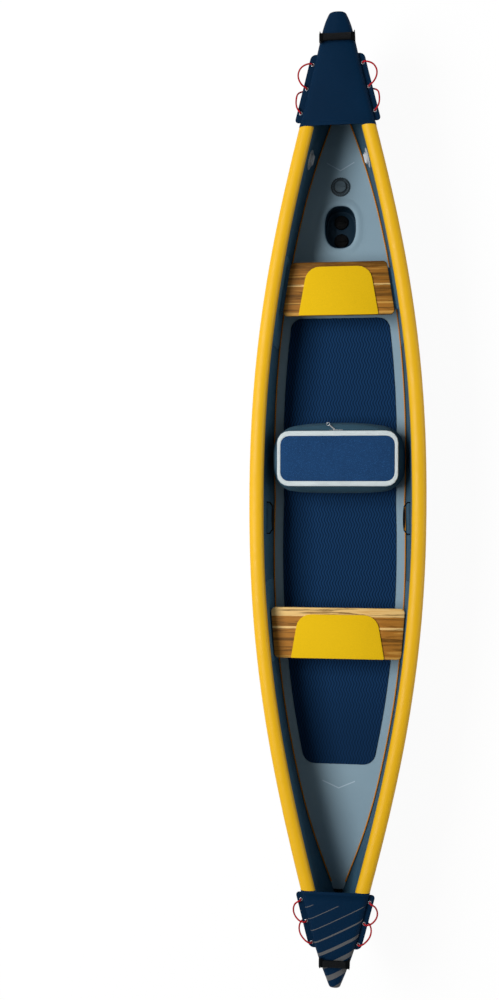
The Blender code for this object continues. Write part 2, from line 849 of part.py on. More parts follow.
def build_grab_cords(hull):
    """A cord woven through three eyelets, with a stopper knot under its first and last one."""
    for name, route in (("stern", STERN_CORD_ROUTE), ("bow", BOW_CORD_ROUTE)):
        for side_name, side in (("port", 1), ("starboard", -1)):
            piece = f"{name}_{side_name}_grab_cord"
            points = [(side * x, y, z) for x, y, z in smooth_route(route, CORD_STEP)]
            curve = tube_curve(piece, points, CORD_DIAMETER / 2, 2)
            mesh = curve_to_mesh(piece, curve, Matrix.Identity(4))
            cord = add_piece(piece, mesh, RED, 0.7, hull)
            for i, point in enumerate((points[0], points[-1])):
                knot = f"{piece}_knot_{i + 1}"
                work = bmesh.new()
                bmesh.ops.create_uvsphere(work, u_segments=10, v_segments=6, radius=KNOT_RADIUS)
                cut(cord, add_cutter(knot, mesh_from(knot, work), point), "UNION")


def build_stem_guards(hull):
    for name, end in (("stern", 1), ("bow", -1)):
        path = []
        heights = [h for _, h, _ in reversed(bottom_row(end, 0, SEAM_HEIGHT))]
        heights += [h for h in wall_heights(end) if SEAM_HEIGHT + GAP < h < GUARD_TOP[end]]
        heights.append(GUARD_TOP[end])
        keel = place(end, 0, 0)
        path.append(keel - Vector((0, end * GUARD_ALONG_KEEL, 0)))
        path += [place(end, 0, h) for h in heights]
        outer, inner = [], []
        for i, point in enumerate(path):
            before, after = path[max(0, i - 1)], path[min(len(path) - 1, i + 1)]
            along = (after - before).normalized()
            out = Vector((0, end * along.z, -end * along.y)).normalized()
            for grid, offset in ((outer, GAP + GUARD_THICKNESS), (inner, GAP)):
                at = point + out * offset
                grid.append([Vector((x, at.y, at.z)) for x in (-GUARD_HALF, GUARD_HALF)])
        piece = name + "_stem_guard"
        add_piece(piece, thick_sheet(piece, outer, inner), BLACK, 0.5, hull)


def deck_height(u, x):
    """The height of a cap's deck or rounded shoulder over the keel, at a half-width x."""
    centre, radius = shoulder(u)
    across = max(0.0, x - centre) / (radius + TRIM + SKIN_GAP)
    return sheer(u) - SHOULDER + SHOULDER * math.sqrt(1 - across * across)


def handle_loop_outline(end, inner, slope):
    """An arch of webbing, from the foot that it turns about to the end that rests on the deck."""
    leg, top = HANDLE_LEG[end], HANDLE_RISE[end]
    under = top - HANDLE_BAR
    tip, back = -leg / 2, HANDLE_LENGTH[end] - leg / 2
    base = sheer(end * station_at(HANDLE_AT)) - HANDLE_BELOW_DECK
    rests = [deck_height(end * station_at(HANDLE_AT - s), inner) - base for s in (back - leg, back)]
    rest = max(rests[0] - slope * (back - leg), rests[1] - slope * back) + GAP
    corner = HANDLE_BAR / 2
    foot, arch = -HANDLE_FOOT_CHAMFER, HANDLE_ARCH_CHAMFER
    return [
        (tip, foot),
        (-leg / 4, -leg / 2),
        (leg / 4, -leg / 2),
        (leg / 2, foot),
        (leg / 2, under - arch),
        (leg / 2 + arch, under),
        (back - leg - arch, under),
        (back - leg, under - arch),
        (back - leg, rest),
        (back, rest),
        (back, top - 2 * corner),
        (back - 2 * corner, top),
        (tip + corner, top),
        (tip, top - corner),
    ]


def build_end_handles(hull):
    for name, end in (("stern", 1), ("bow", -1)):
        u = end * station_at(HANDLE_AT)
        reach = HANDLE_LENGTH[end]
        slope = (sheer(end * station_at(HANDLE_AT - reach)) - sheer(u)) / reach
        pivot = place(u, 0, sheer(u) - HANDLE_BELOW_DECK)
        level = Matrix.Rotation(math.atan(-slope * end), 4, "X")
        upright = Matrix(((0, 0, 1, 0), (-end, 0, 0, 0), (0, 1, 0, 0), (0, 0, 0, 1)))
        inner = half_beam(u) - HANDLE_TUCK
        middle = inner + HANDLE_LOOP_THICKNESS / 2
        loops = []
        for side in (1, -1):
            outline = handle_loop_outline(end, inner, slope)
            loop = outline_plate(name + "_loop", outline, HANDLE_LOOP_THICKNESS)
            shift = Matrix.Translation((side * middle, 0, 0))
            loops.append(curve_to_mesh(name + "_handle_webbing", loop, level @ shift @ upright))
        piece = name + "_handle_webbing"
        webbing = add_piece(piece, loops[0], BLACK, 0.75, hull, pivot, smooth=False)
        cut(webbing, add_cutter(piece + "_far_loop", loops[1], pivot), "UNION")
        near, far = HANDLE_GRIP[end]
        strap_foot = HANDLE_RISE[end] - HANDLE_BAR + GAP
        centre = (0, -end * (near + far) / 2, strap_foot + HANDLE_STRAP / 2)
        size = (2 * middle, far - near - 2 * HANDLE_STRAP_MARGIN, HANDLE_STRAP)
        band = box_mesh(piece + "_band", size, centre)
        band.transform(level)
        cut(webbing, add_cutter(piece + "_band", band, pivot), "UNION")
        low, high = strap_foot + HANDLE_STRAP + GAP, HANDLE_RISE[end]
        corners = [(near, low), (far, low), (far, high), (near, high)]
        outline = rounded_outline(corners, GRIP_EDGES, 3)
        grip = outline_plate(name + "_handle_grip", outline, 2 * (inner - GAP))
        mesh = curve_to_mesh(name + "_handle_grip", grip, level @ upright)
        add_piece(name + "_handle_grip", mesh, BLACK, 0.6, hull, pivot)


def build_side_handles(hull):
    """Webbing loops on the inner walls. Their round ends turn on the wall."""
    radius, reach = SIDE_HANDLE_WIDTH / 2, SIDE_HANDLE_REACH
    half = SIDE_HANDLE_LENGTH / 2
    strap = SIDE_HANDLE_STRAP
    slope, foot = SIDE_HANDLE_SLOPE, SIDE_HANDLE_FOOT
    inner_foot, inner_slope = foot - strap / 2, slope + 0.75 * strap
    profile = [
        (-radius, half),
        (foot, half),
        (reach - radius, half - slope),
        (reach - radius, slope - half),
        (foot, -half),
        (-radius, -half),
        (-radius, strap - half),
        (inner_foot, strap - half),
        (reach - radius - strap, inner_slope - half),
        (reach - radius - strap, half - inner_slope),
        (inner_foot, half - strap),
        (-radius, half - strap),
    ]
    for name, side in (("port", 1), ("starboard", -1)):
        u = station_at(SIDE_HANDLE_AT)
        ends = [station_at(SIDE_HANDLE_AT + shift) for shift in (-half, half)]
        wall = min(inner_x(end, SIDE_HANDLE_HEIGHT) for end in ends)
        pivot = place(u, side * (wall - radius - GAP), SIDE_HANDLE_HEIGHT)
        piece = name + "_side_handle"
        points = [(-side * x, y) for x, y in profile]
        if side > 0:
            points = points[::-1]
        curve = outline_plate(piece, points, SIDE_HANDLE_WIDTH)
        mesh = curve_to_mesh(piece, curve, Matrix.Identity(4))
        handle = add_piece(piece, mesh, BLACK, 0.75, hull, pivot, smooth=False)
        rounding = cylinder_mesh(piece + "_rounding", radius, -0.1, 0.1, 20)
        rounding.transform(Matrix.Rotation(math.radians(90), 4, "X"))
        front = box_mesh(piece + "_front", (reach * 2, 0.2, SIDE_HANDLE_WIDTH + 0.002))
        front.transform(Matrix.Translation((-side * reach, 0, 0)))
        keep = add_cutter(piece + "_keep", front, pivot)
        cut(keep, add_cutter(piece + "_rounding", rounding, pivot), "UNION")
        cut(handle, keep, "INTERSECT")


def build_piping(hull):
    for name, side in (("port", 1), ("starboard", -1)):
        points = []
        for u in stations_between(-PIPING_END[-1], PIPING_END[1]):
            x = floor_half(u) - PIPING_RADIUS - PIPING_MARGIN
            height = FLOOR_HEIGHT + PIPING_RADIUS + GAP
            points.append(place(u, side * x, height, SEAM_HEIGHT))
        curve = tube_curve(name + "_floor_piping", points, PIPING_RADIUS, 2)
        add_piece(name + "_floor_piping", curve, ORANGE, 0.5, hull)


def pad_half(y):
    return floor_half(station_at(y)) - PAD_MARGIN


def build_deck_pad(hull):
    low, high = PAD_SPAN
    shares = (0.0, 0.06, 0.2, 0.42, 0.7, 1.0)
    ys = [low + PAD_CORNER * s for s in shares]
    straight = stations_between(station_at(ys[-1]), station_at(high - PAD_CORNER))
    ys += [u * HULL_LENGTH / 2 for u in straight[1:-1]]
    ys += [high - PAD_CORNER * s for s in reversed(shares)]
    port = []
    for y in ys:
        near = max(0.0, 1 - min(y - low, high - y) / PAD_CORNER)
        port.append((pad_half(y) - PAD_CORNER * (1 - math.sqrt(1 - min(1.0, near) ** 2)), y))
    outline = port + [(-x, y) for x, y in reversed(port)]
    curve = outline_plate("deck_pad", outline, PAD_THICKNESS)
    z = KEEL_Z + FLOOR_HEIGHT + GAP + PAD_THICKNESS / 2
    add_piece("deck_pad", curve, PAD_BLUE, 0.8, hull, (0, 0, z))


def trapezium(span, halves, radii):
    """The outline of a seat piece, centred on the middle of its span."""
    low, high = span
    middle = (low + high) / 2
    corners = [
        (halves[1], high - middle),
        (-halves[1], high - middle),
        (-halves[0], low - middle),
        (halves[0], low - middle),
    ]
    return rounded_outline(corners, radii)


def build_seats(hull):
    for name, seat in SEATS.items():
        middle = sum(seat["board"]) / 2
        z = KEEL_Z + SEAT_TOP - BOARD_THICKNESS / 2
        outline = trapezium(seat["board"], seat["board_half"], [BOARD_CORNER] * 4)
        board = outline_plate(name + "_seat_board", outline, BOARD_THICKNESS)
        add_piece(name + "_seat_board", board, WOOD, 0.5, hull, (0, middle, z))
        radii = [SEAT_PAD_CORNER, SEAT_PAD_CORNER, SEAT_PAD_THICKNESS, SEAT_PAD_THICKNESS]
        outline = trapezium(seat["pad"], seat["pad_half"], radii)
        pad = outline_plate(name + "_seat_pad", outline, SEAT_PAD_THICKNESS)
        z = KEEL_Z + SEAT_TOP + GAP + SEAT_PAD_THICKNESS / 2
        add_piece(name + "_seat_pad", pad, SEAT_YELLOW, 0.7, hull, (0, sum(seat["pad"]) / 2, z))
        for side_name, side in (("port", 1), ("starboard", -1)):
            build_seat_support(hull, f"{name}_{side_name}_seat_support", seat, side)


def build_seat_support(hull, piece, seat, side):
    """A patch welded to the inner wall, with the ledge that carries the board's end."""
    low, high = (station_at(y) for y in seat["patch"])
    on_wall, off_wall = [], []
    for u in stations_between(low, high):
        top = sheer(u) - SHOULDER - PATCH_BELOW_TOP
        heights = (PATCH_FROM, (PATCH_FROM + top) / 2, top)
        for grid, offset in ((on_wall, SKIN_GAP), (off_wall, SKIN_GAP + PATCH_THICKNESS)):
            grid.append([place(u, side * (inner_x(u, h) - offset), h) for h in heights])
    patch = thick_sheet(piece, on_wall, off_wall)
    support = add_piece(piece, patch, WALL_BLUE, 0.5, hull)
    ledge_top = SEAT_TOP - BOARD_THICKNESS - GAP
    low, high = seat["board"]
    ends = station_at(low + LEDGE_INSET), station_at(high - LEDGE_INSET)
    over, under = [], []
    for u in stations_between(*ends):
        wall = inner_x(u, ledge_top - LEDGE_HEIGHT) - SKIN_GAP - PATCH_THICKNESS / 2
        across = (wall, wall - LEDGE_REACH)
        over.append([place(u, side * x, ledge_top) for x in across])
        under.append([place(u, side * x, ledge_top - LEDGE_HEIGHT) for x in across])
    ledge = thick_sheet(piece + "_ledge", over, under)
    cut(support, add_cutter(piece + "_ledge", ledge), "UNION")


def bag_size(share):
    """The bag's width and depth at a share of its body's height. Its top band is straight."""
    bulge = 0.0
    if share < BAG_BAND:
        bulge = BAG_BULGE * math.sin(math.pi * (0.12 + 0.88 * share / BAG_BAND)) ** 0.8
    return BAG_TOP[0] + 2 * bulge, BAG_TOP[1] + 2 * bulge


def build_bag(hull):
    foot = KEEL_Z + FLOOR_HEIGHT + PAD_THICKNESS + 2 * GAP
    body_height = BAG_HEIGHT - LID_THICKNESS
    wide, deep = BAG_TOP
    rings = []
    for share in (0.0, 0.08, 0.25, 0.45, 0.65, 0.8, BAG_BAND, 1.0):
        width, depth = bag_size(share)
        rings.append(rounded_ring(width, depth, BAG_CORNER, body_height * share))
    for share in (1.0, BAG_BAND, 0.65, 0.25, 0.08):
        width, depth = bag_size(share)
        inset = 2 * BAG_WALL
        corner = BAG_CORNER - BAG_WALL
        rings.append(rounded_ring(width - inset, depth - inset, corner, body_height * share))
    body = ring_loft("bag_seat_body", rings)
    add_piece("bag_seat_body", body, BAG_BODY, 0.8, hull, (0, BAG_CENTRE_Y, foot))

    hinge = (0, BAG_CENTRE_Y - deep / 2, foot + body_height + GAP)
    back = Vector((0, deep / 2, 0))
    inner_size = wide - 2 * BINDING_END, deep - 2 * BINDING_SIDE
    inner_corner = BAG_CORNER - BINDING_END
    rings = []
    for z, inset in ((0, 0), (LID_THICKNESS, 0), (LID_THICKNESS + LID_CROWN, LID_CROWN_INSET)):
        width, depth = (size - 2 * (GAP + inset) for size in inner_size)
        rings.append([Vector(p) + back for p in rounded_ring(width, depth, inner_corner, z)])
    lid = ring_loft("bag_seat_lid", rings)
    add_piece("bag_seat_lid", lid, BAG_BLUE, 0.85, hull, hinge)

    rings = []
    for width, depth, corner, z in (
        (wide, deep, BAG_CORNER, 0),
        (wide, deep, BAG_CORNER, LID_THICKNESS * 0.7),
        (wide - 2 * BINDING_ROUND, deep - 2 * BINDING_ROUND, BAG_CORNER - BINDING_ROUND, LID_THICKNESS),
        (*inner_size, inner_corner, LID_THICKNESS),
        (*inner_size, inner_corner, 0),
    ):
        rings.append([Vector(p) + back for p in rounded_ring(width, depth, corner, z)])
    binding = closed_ring_loft("bag_seat_binding", rings)
    add_piece("bag_seat_binding", binding, BINDING_GREY, 0.7, hull, hinge)

    length, thick, tall = SLIDER_SIZE
    face = BAG_CENTRE_Y + deep / 2 + GAP
    at = (0.0, face + thick / 2, foot + body_height - SLIDER_BELOW_TOP)
    slider = add_piece(
        "bag_zip_slider", box_mesh("bag_zip_slider", SLIDER_SIZE), PALE_GREY, 0.3, hull, at, metallic=0.6
    )
    rounding = slider.modifiers.new("rounding", "BEVEL")
    rounding.width = 0.0015
    rounding.segments = 2
    bpy.ops.mesh.primitive_torus_add(
        major_segments=16, minor_segments=6, major_radius=PULL_RADIUS, minor_radius=PULL_WIRE
    )
    ring = bpy.context.object
    mesh = ring.data
    bpy.data.objects.remove(ring)
    mesh.transform(Matrix.Rotation(math.radians(90), 4, "X"))
    mesh.transform(Matrix.Translation((-length / 2 - PULL_RADIUS * 0.75, 0, 0)))
    cut(slider, add_cutter("pull_ring", mesh, at), "UNION")


def valve_hole_mesh(name, recess):
    """The cutter for a valve's barrel, with a flat seat for its flange."""
    reach = VALVE_BARREL + GAP
    seat = VALVE_FLANGE + GAP
    depth = recess + VALVE_DEPTH + PLUNGER_TIP + PLUNGER_TRAVEL
    profile = [(0, -depth), (reach, -depth)]
    if recess:
        profile += [(reach, -recess), (seat, -recess), (seat, 0.05), (0, 0.05)]
    else:
        profile += [(reach, 0.05), (0, 0.05)]
    return turned_mesh(name, profile, 32)


def side_valve_matrix(side):
    """The frame of a side valve: its Z is the inner wall's normal, into the cockpit."""
    u, height = station_at(SIDE_VALVE_AT), SIDE_VALVE_HEIGHT
    step = 0.01
    here = place(u, side * inner_x(u, height), height)
    along = place(u + step, side * inner_x(u + step, height), height) - here
    up = place(u, side * inner_x(u, height + step), height + step) - here
    normal = along.cross(up).normalized()
    if normal.x * side > 0:
        normal = -normal
    frame = normal.to_track_quat("Z", "Y").to_matrix().to_4x4()
    frame.translation = here
    return frame


def build_valve(hull, prefix, frame, sunk):
    """The valve's body, its spring-loaded plunger and its cap, on the frame's Z axis."""
    base = GAP - sunk
    flange_top = base + VALVE_FLANGE_THICKNESS
    bottom = base - VALVE_DEPTH
    neck = VALVE_CAP - VALVE_CAP_WALL
    neck_top = flange_top + VALVE_NECK_HEIGHT
    profile = [
        (VALVE_BORE, neck_top),
        (neck, neck_top),
        (neck, flange_top),
        (VALVE_FLANGE - VALVE_EDGE, flange_top),
        (VALVE_FLANGE, flange_top - VALVE_EDGE),
        (VALVE_FLANGE, base),
        (VALVE_BARREL, base),
        (VALVE_BARREL, bottom),
        (PLUNGER_STEM + STEM_CLEARANCE, bottom),
        (PLUNGER_STEM + STEM_CLEARANCE, bottom + VALVE_FLOOR),
        (VALVE_BORE, bottom + VALVE_FLOOR),
    ]
    location = frame.to_translation()
    turn = frame.to_euler()
    pieces = [(prefix + "_valve_body", turned_mesh(prefix + "_body", profile, 32), PALE_GREY)]
    head = bottom + VALVE_FLOOR + PLUNGER_TRAVEL + GAP
    profile = [
        (0, head + PLUNGER_HEAD_THICKNESS),
        (PLUNGER_HEAD, head + PLUNGER_HEAD_THICKNESS),
        (PLUNGER_HEAD, head),
        (PLUNGER_STEM, head),
        (PLUNGER_STEM, bottom - PLUNGER_TIP),
        (0, bottom - PLUNGER_TIP),
    ]
    pieces.append((prefix + "_valve_plunger", turned_mesh(prefix + "_plunger", profile, 16), BLACK))
    under = flange_top + GAP
    over = under + VALVE_CAP_HEIGHT
    inside = neck + GAP
    profile = [
        (0, over),
        (VALVE_CAP - VALVE_EDGE, over),
        (VALVE_CAP, over - VALVE_EDGE),
        (VALVE_CAP, under),
        (inside, under),
        (inside, under + VALVE_CAP_WALL),
        (0, under + VALVE_CAP_WALL),
    ]
    pieces.append((prefix + "_valve_cap", turned_mesh(prefix + "_cap", profile, 24), PALE_GREY))
    for name, mesh, colour in pieces:
        piece = add_piece(name, mesh, colour, 0.4, hull, location)
        piece.rotation_euler = turn
        if name.endswith("_cap"):
            bar = box_mesh(name + "_bar", VALVE_TAB, (0, 0, over + VALVE_TAB[2] / 4))
            grip = add_cutter(name + "_bar", bar, location)
            grip.rotation_euler = turn
            cut(piece, grip, "UNION")


def build_valves(hull):
    floor_frame = Matrix.Translation((0, FLOOR_VALVE_AT, KEEL_Z + FLOOR_HEIGHT))
    build_valve(hull, "floor", floor_frame, 0)
    for name, side in (("port", 1), ("starboard", -1)):
        build_valve(hull, name, side_valve_matrix(side), SEAT_RECESS)


def build_drain(hull):
    plate_foot = SKIN + GAP
    plate = cylinder_mesh("drain_plate", 0.5, 0, DRAIN_PLATE, 32)
    width, length = (s - 2 * GAP for s in DRAIN_SIZE)
    plate.transform(Matrix.Diagonal((width, length, 1, 1)))
    at = (0, DRAIN_CENTRE_Y, KEEL_Z + plate_foot)
    drain_plate = add_piece("drain_plate", plate, NAVY, 0.5, hull, at)
    seat = plate_foot + DRAIN_PLATE + GAP
    for i, y in enumerate(DRAIN_PLUG_AT):
        name = f"plate_hole_{i + 1}"
        hole = cylinder_mesh(name, PLUG_STEM + GAP, -0.01, 0.03)
        cut(drain_plate, add_cutter(name, hole, (0, y, KEEL_Z)))
        profile = [
            (0, PLUG_HEIGHT),
            (PLUG_RADIUS - PLUG_EDGE, PLUG_HEIGHT),
            (PLUG_RADIUS, PLUG_HEIGHT - PLUG_EDGE),
            (PLUG_RADIUS, 0),
            (PLUG_STEM, 0),
            (PLUG_STEM, PLUG_ABOVE_FLOOR - seat),
            (0, PLUG_ABOVE_FLOOR - seat),
        ]
        piece = f"drain_plug_{('bow', 'stern')[i]}"
        mesh = turned_mesh(piece, profile, 24)
        plug = add_piece(piece, mesh, BLACK, 0.45, hull, (0, y, KEEL_Z + seat))
        grip = box_mesh(piece + "_grip", PLUG_GRIP, (0, 0, PLUG_HEIGHT + PLUG_GRIP[2] / 2 - 0.001))
        cut(plug, add_cutter(piece + "_grip", grip, (0, y, KEEL_Z + seat)), "UNION")


def build_fins(hull):
    box_width, box_length, box_height = FIN_BOX
    foot_width, foot_length, foot_height = FIN_FOOT
    blade_depth = FIN_DEPTH - GAP
    neck = FIN_THICKNESS + 2 * GAP
    for name, start in FIN_BASES.items():
        middle = start + FIN_BASE / 2
        box_at = (0, middle, KEEL_Z - GAP)
        mesh = box_mesh(name, (box_width, box_length, box_height), (0, 0, -box_height / 2))
        fin_box = add_piece(name + "_fin_box", mesh, BLACK, 0.5, hull, box_at, smooth=False)
        rounding = fin_box.modifiers.new("rounding", "BEVEL")
        rounding.width = 0.006
        rounding.segments = 2
        rounding.limit_method = "ANGLE"
        back_wall = (FIN_BASE - foot_length) / 2 - GAP
        slot_start = -FIN_BASE / 2 + back_wall
        slot_length = box_length / 2 + 0.01 - slot_start
        slot_middle = slot_start + slot_length / 2
        slot = (foot_width + 2 * GAP, slot_length, foot_height + 2 * GAP)
        low = -FIN_FOOT_BELOW - foot_height - GAP
        upper = box_mesh(name + "_slot", slot, (0, slot_middle, low + slot[2] / 2))
        cut(fin_box, add_cutter(name + "_slot", upper, box_at))
        through = box_mesh(
            name + "_neck_slot",
            (neck, slot_length, box_height + 0.004),
            (0, slot_middle, low + foot_height / 2 - box_height / 2 - 0.002),
        )
        cut(fin_box, add_cutter(name + "_neck_slot", through, box_at))

        foot_z = -box_height - GAP
        outline = [(0.0, foot_z)]
        outline += [(along, foot_z - share * (blade_depth + foot_z)) for along, share in FIN_SHAPE]
        top = -FIN_FOOT_BELOW - foot_height / 2
        inset = (FIN_BASE - foot_length) / 2 + NECK_INSET
        outline += [(FIN_BASE, foot_z), (FIN_BASE - inset, foot_z)]
        outline += [(FIN_BASE - inset, top), (inset, top), (inset, foot_z)]
        blade = outline_plate(name + "_fin", outline[::-1], FIN_THICKNESS)
        upright = Matrix(((0, 0, 1, 0), (1, 0, 0, 0), (0, 1, 0, 0), (0, 0, 0, 1)))
        mesh = curve_to_mesh(name + "_fin", blade, upright)
        fin_at = (0, start, KEEL_Z - GAP)
        fin = add_piece(name + "_fin", mesh, BLACK, 0.35, hull, fin_at, smooth=False)
        foot = box_mesh(
            name + "_foot",
            (foot_width, foot_length, foot_height),
            (0, FIN_BASE / 2, -FIN_FOOT_BELOW - foot_height / 2),
        )
        cut(fin, add_cutter(name + "_foot", foot, fin_at), "UNION")


def main():
    clear_scene()
    make_collection(COLLECTION_NAME)
    make_collection(CUTTER_COLLECTION_NAME)
    hull = bpy.data.objects.new("hull_frame", None)
    bpy.context.scene.collection.objects.link(hull)
    build_side_chambers(hull)
    build_floor_chamber(hull)
    build_bottom_skin(hull)
    build_gunwale_trims(hull)
    build_end_caps(hull)
    build_cord_flaps(hull)
    build_grab_cords(hull)
    build_stem_guards(hull)
    build_end_handles(hull)
    build_side_handles(hull)
    build_piping(hull)
    build_deck_pad(hull)
    build_seats(hull)
    build_bag(hull)
    build_valves(hull)
    build_drain(hull)
    build_fins(hull)


main()
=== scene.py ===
"""Inflatable canoe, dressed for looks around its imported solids.

+Y points to the stern, +X to port and +Z up, in metres. The hull's skins follow the hull's own
curves, and the fittings are modelled on copies of their solids or from primitives.
"""

import math

import bmesh
import bpy
from mathutils import Matrix, Vector


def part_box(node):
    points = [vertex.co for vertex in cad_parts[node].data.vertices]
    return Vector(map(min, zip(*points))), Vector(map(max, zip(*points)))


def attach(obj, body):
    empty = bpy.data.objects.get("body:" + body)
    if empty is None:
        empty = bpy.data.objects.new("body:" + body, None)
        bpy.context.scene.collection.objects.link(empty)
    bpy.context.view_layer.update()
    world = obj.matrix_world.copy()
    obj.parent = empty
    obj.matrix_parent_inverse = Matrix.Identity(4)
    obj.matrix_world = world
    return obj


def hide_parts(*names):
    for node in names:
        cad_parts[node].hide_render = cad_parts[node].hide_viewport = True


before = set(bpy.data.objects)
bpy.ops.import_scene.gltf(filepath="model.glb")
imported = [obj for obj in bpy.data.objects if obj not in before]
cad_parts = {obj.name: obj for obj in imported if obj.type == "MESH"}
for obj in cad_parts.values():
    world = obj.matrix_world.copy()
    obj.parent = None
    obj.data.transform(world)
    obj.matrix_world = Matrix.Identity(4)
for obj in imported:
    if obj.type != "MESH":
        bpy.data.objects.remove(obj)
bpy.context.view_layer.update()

bl_info = {
    "name": "Inflatable canoe",
    "version": (1, 0, 0),
    "blender": (4, 5, 0),
    "location": "3D View > Sidebar > Canoe",
    "description": "Dresses the packed solids of an inflatable canoe",
    "category": "Object",
}

# The hull's curves, as in the part's own source
GAP = 0.0003
SKIN_GAP = 0.001
HULL_LENGTH = 4.78
HALF_LENGTH = HULL_LENGTH / 2
BEAM = 0.88
DEPTH = 0.40
SHEER_RISE = 0.098
PLAN_POWER = 2.2
PLAN_FULLNESS = 1.309
PLAN_END_HALF = 0.062
NOSE = {1: (0.92, 0.025, 4.0), -1: (0.88, 0.038, 2.2)}
STEM_HALF = 0.012
STEM_BLEND = 12
STEM_START = 0.6
STEM_CURVE = {1: (0.29, 0.42), -1: (0.396, 0.375)}
TIP_SETBACK = {1: (0.455, 0.008), -1: (0.396, 0.026)}
WALL_LEAN = 0.026
WALL_LEAN_LEAST = 0.005
WALL_LEAN_END = 0.45
PANEL = 0.072
SHOULDER = 0.028
TRIM = 0.003
SKIN = 0.003
SEAM_HEIGHT = 0.113
CHINE_WIDTH = 0.11
CHINE_HEIGHT = 0.10
FLOOR_HEIGHT = 0.12
FLOOR_END = {1: 0.875, -1: 0.88}
KEEL_Z = 0.143
STATION_SPREAD = 1.6
PRINT_PITCH = 0.118
HALF_STATIONS = 56

# End caps and their fittings
ENDS = {"stern": 1, "bow": -1}
SIDES = {"port": 1, "starboard": -1}
CAP_EDGE = {1: 1.844, -1: 1.919}
PIVOT_FROM_TIP = {1: 2.2675, -1: -2.2525}
CAP_STRIPE_PITCH = 0.062
CAP_HANG = 0.054
CAP_CROWN = 0.004
CAP_NOSE = 0.007
NOSE_CORNER = 0.012
LOBE_RADIUS = 0.046
LOBE_DROP = 0.030
LOBE_FROM_TIP = {1: 0.108, -1: 0.113}
FLAP_SPAN = {1: (1.869, 2.194), -1: (1.930, 2.199)}
FLAP_WIDTH = 0.030
FLAP_THICKNESS = 0.004
FLAP_CORNER = 0.020
FLAP_BELOW_TOP = 0.034
EYELET_AT = {1: (2.147, 2.032, 1.916), -1: (1.967, 2.071, 2.174)}
EYELET_INSET = 0.011
EYELET_WIRE = 0.0019
GUARD_HALF = 0.0115
GUARD_THICKNESS = 0.003
GUARD_TOP = {1: 0.263, -1: 0.440}
GUARD_ALONG_KEEL = 0.03
GUARD_SECTION = (
    (-1.0, 0.3), (-0.9, 0.75), (-0.6, 0.95), (0.0, 1.0), (0.6, 0.95), (0.9, 0.75),
    (1.0, 0.3), (1.0, 0.0), (-1.0, 0.0),
)

# Floor, mat and piping
PIPING_RADIUS = 0.0035
PIPING_MARGIN = 0.0012
PIPING_END = {1: 0.85, -1: 0.86}
MAT_SPAN = (-1.364, 0.951)
MAT_MARGIN = 0.051
MAT_THICKNESS = 0.005
MAT_CORNER = 0.052
MAT_CORNER_STEPS = 14
CHEVRONS = ((1.718, 0.041, 0.0705), (-1.490, 0.037, 0.084))
DRAIN_AT = 1.425
DRAIN_HALF = (0.08, 0.11)
DRAIN_LIP = (
    (0.044, 0.0), (0.037, 0.0008), (0.030, 0.0024), (0.023, 0.0038), (0.016, 0.0044),
    (0.010, 0.0038), (0.005, 0.0022), (0.0018, 0.0004), (0.0005, -0.0025),
)
DRAIN_CUP_WALL = 0.0022
DRAIN_STEPS = 64
PLUG_GRIP_RISE = 0.008
PLUG_EDGE = 0.0012
PLUG_RINGS = (0.0250, 0.0315)
PLUG_RING_WIRE = 0.0013
OVAL_POWER = 2.5
VALVE_LIP = ((0.0035, 0.0), (0.0015, -0.0003), (0.0003, -0.0015))
FLOOR_VALVE_AT = 1.632
VALVE_HOLE = 0.0273
VALVE_EDGE = 0.0008
CROWN_SECTION = (
    (0.0470, -0.0035), (0.0498, -0.0030), (0.0500, 0.0006), (0.0485, 0.0020),
    (0.0440, 0.0024), (0.0440, 0.0006), (0.0350, 0.0006), (0.0350, 0.0028),
    (0.0325, 0.0030), (0.0325, -0.0002), (0.0470, -0.0002),
)
CROWN_RIBS = 30
VALVE_FACE = {"floor": 0.0053, "port": 0.0023, "starboard": 0.0023}
CAP_HINGE_WAY = {"floor": (0, 1, 0), "port": (0, 0, -1), "starboard": (0, 0, -1)}
CAP_HINGE_SPREAD = math.radians(27)
SIDE_VALVE_AT = 1.73
SIDE_VALVE_HEIGHT = 0.285

# Benches
SEAT_TOP = 0.300
BOARD_THICKNESS = 0.022
SEAT_PATCH = {"stern": (0.788, 1.235), "bow": (-0.811, -0.400)}
SEAT_BOARD = {"stern": (0.938, 1.207), "bow": (-0.7935, -0.5375)}
PATCH_THICKNESS = 0.003
PATCH_FROM = 0.133
PATCH_BELOW_TOP = 0.012
PATCH_CORNER = 0.045
LEDGE_REACH = 0.050
LEDGE_HEIGHT = 0.022
LEDGE_INSET = 0.030
PAD_EDGE = 0.0015
WOOD_DEPTH = {"stern": (0.40, 0.80), "bow": (0.52, 1.0)}

# Handles
WALL_STRAP = 0.004
WALL_GRIP_HALF = 0.052
STRAP_HALF = 0.021
STRAP_THICKNESS = 0.0048
BEND_HALF = 0.0235
BEND_THICKNESS = 0.009
BEND_RADIUS = 0.013
FIN_EDGE = 0.0018

# Bag
BAG_CENTRE_Y = 0.213
BAG_HALF = (0.301, 0.138)
BAG_CORNER = 0.06
BAG_DRAWN_IN = (0.05, 0.13)
BAG_LEAN = 0.008
BAG_SWELL = 0.036
BAG_SHAPE_DEPTH = 0.07
BAG_FACE = 0.006
BAG_PRESSURE = 4.0
BAG_PUFF = 0.006
PULLER_REACH = (-0.030, 0.026, -0.028)
PULLER_RING = (0.0085, 0.0016)
ZIP_STEPS = 288
ZIP_SECTION = (
    (0.0, 0.0), (0.0016, 0.05), (0.0016, 0.36), (0.0030, 0.43), (0.0030, 0.57), (0.0016, 0.64),
    (0.0016, 0.95), (0.0, 1.0), (-0.002, 1.0), (-0.002, 0.0),
)
TAB_OUTLINE = ((0.0, 0.0028), (0.06, 0.0040), (0.5, 0.0034), (0.92, 0.0044), (1.0, 0.0030))
TAB_THICKNESS = 0.0013

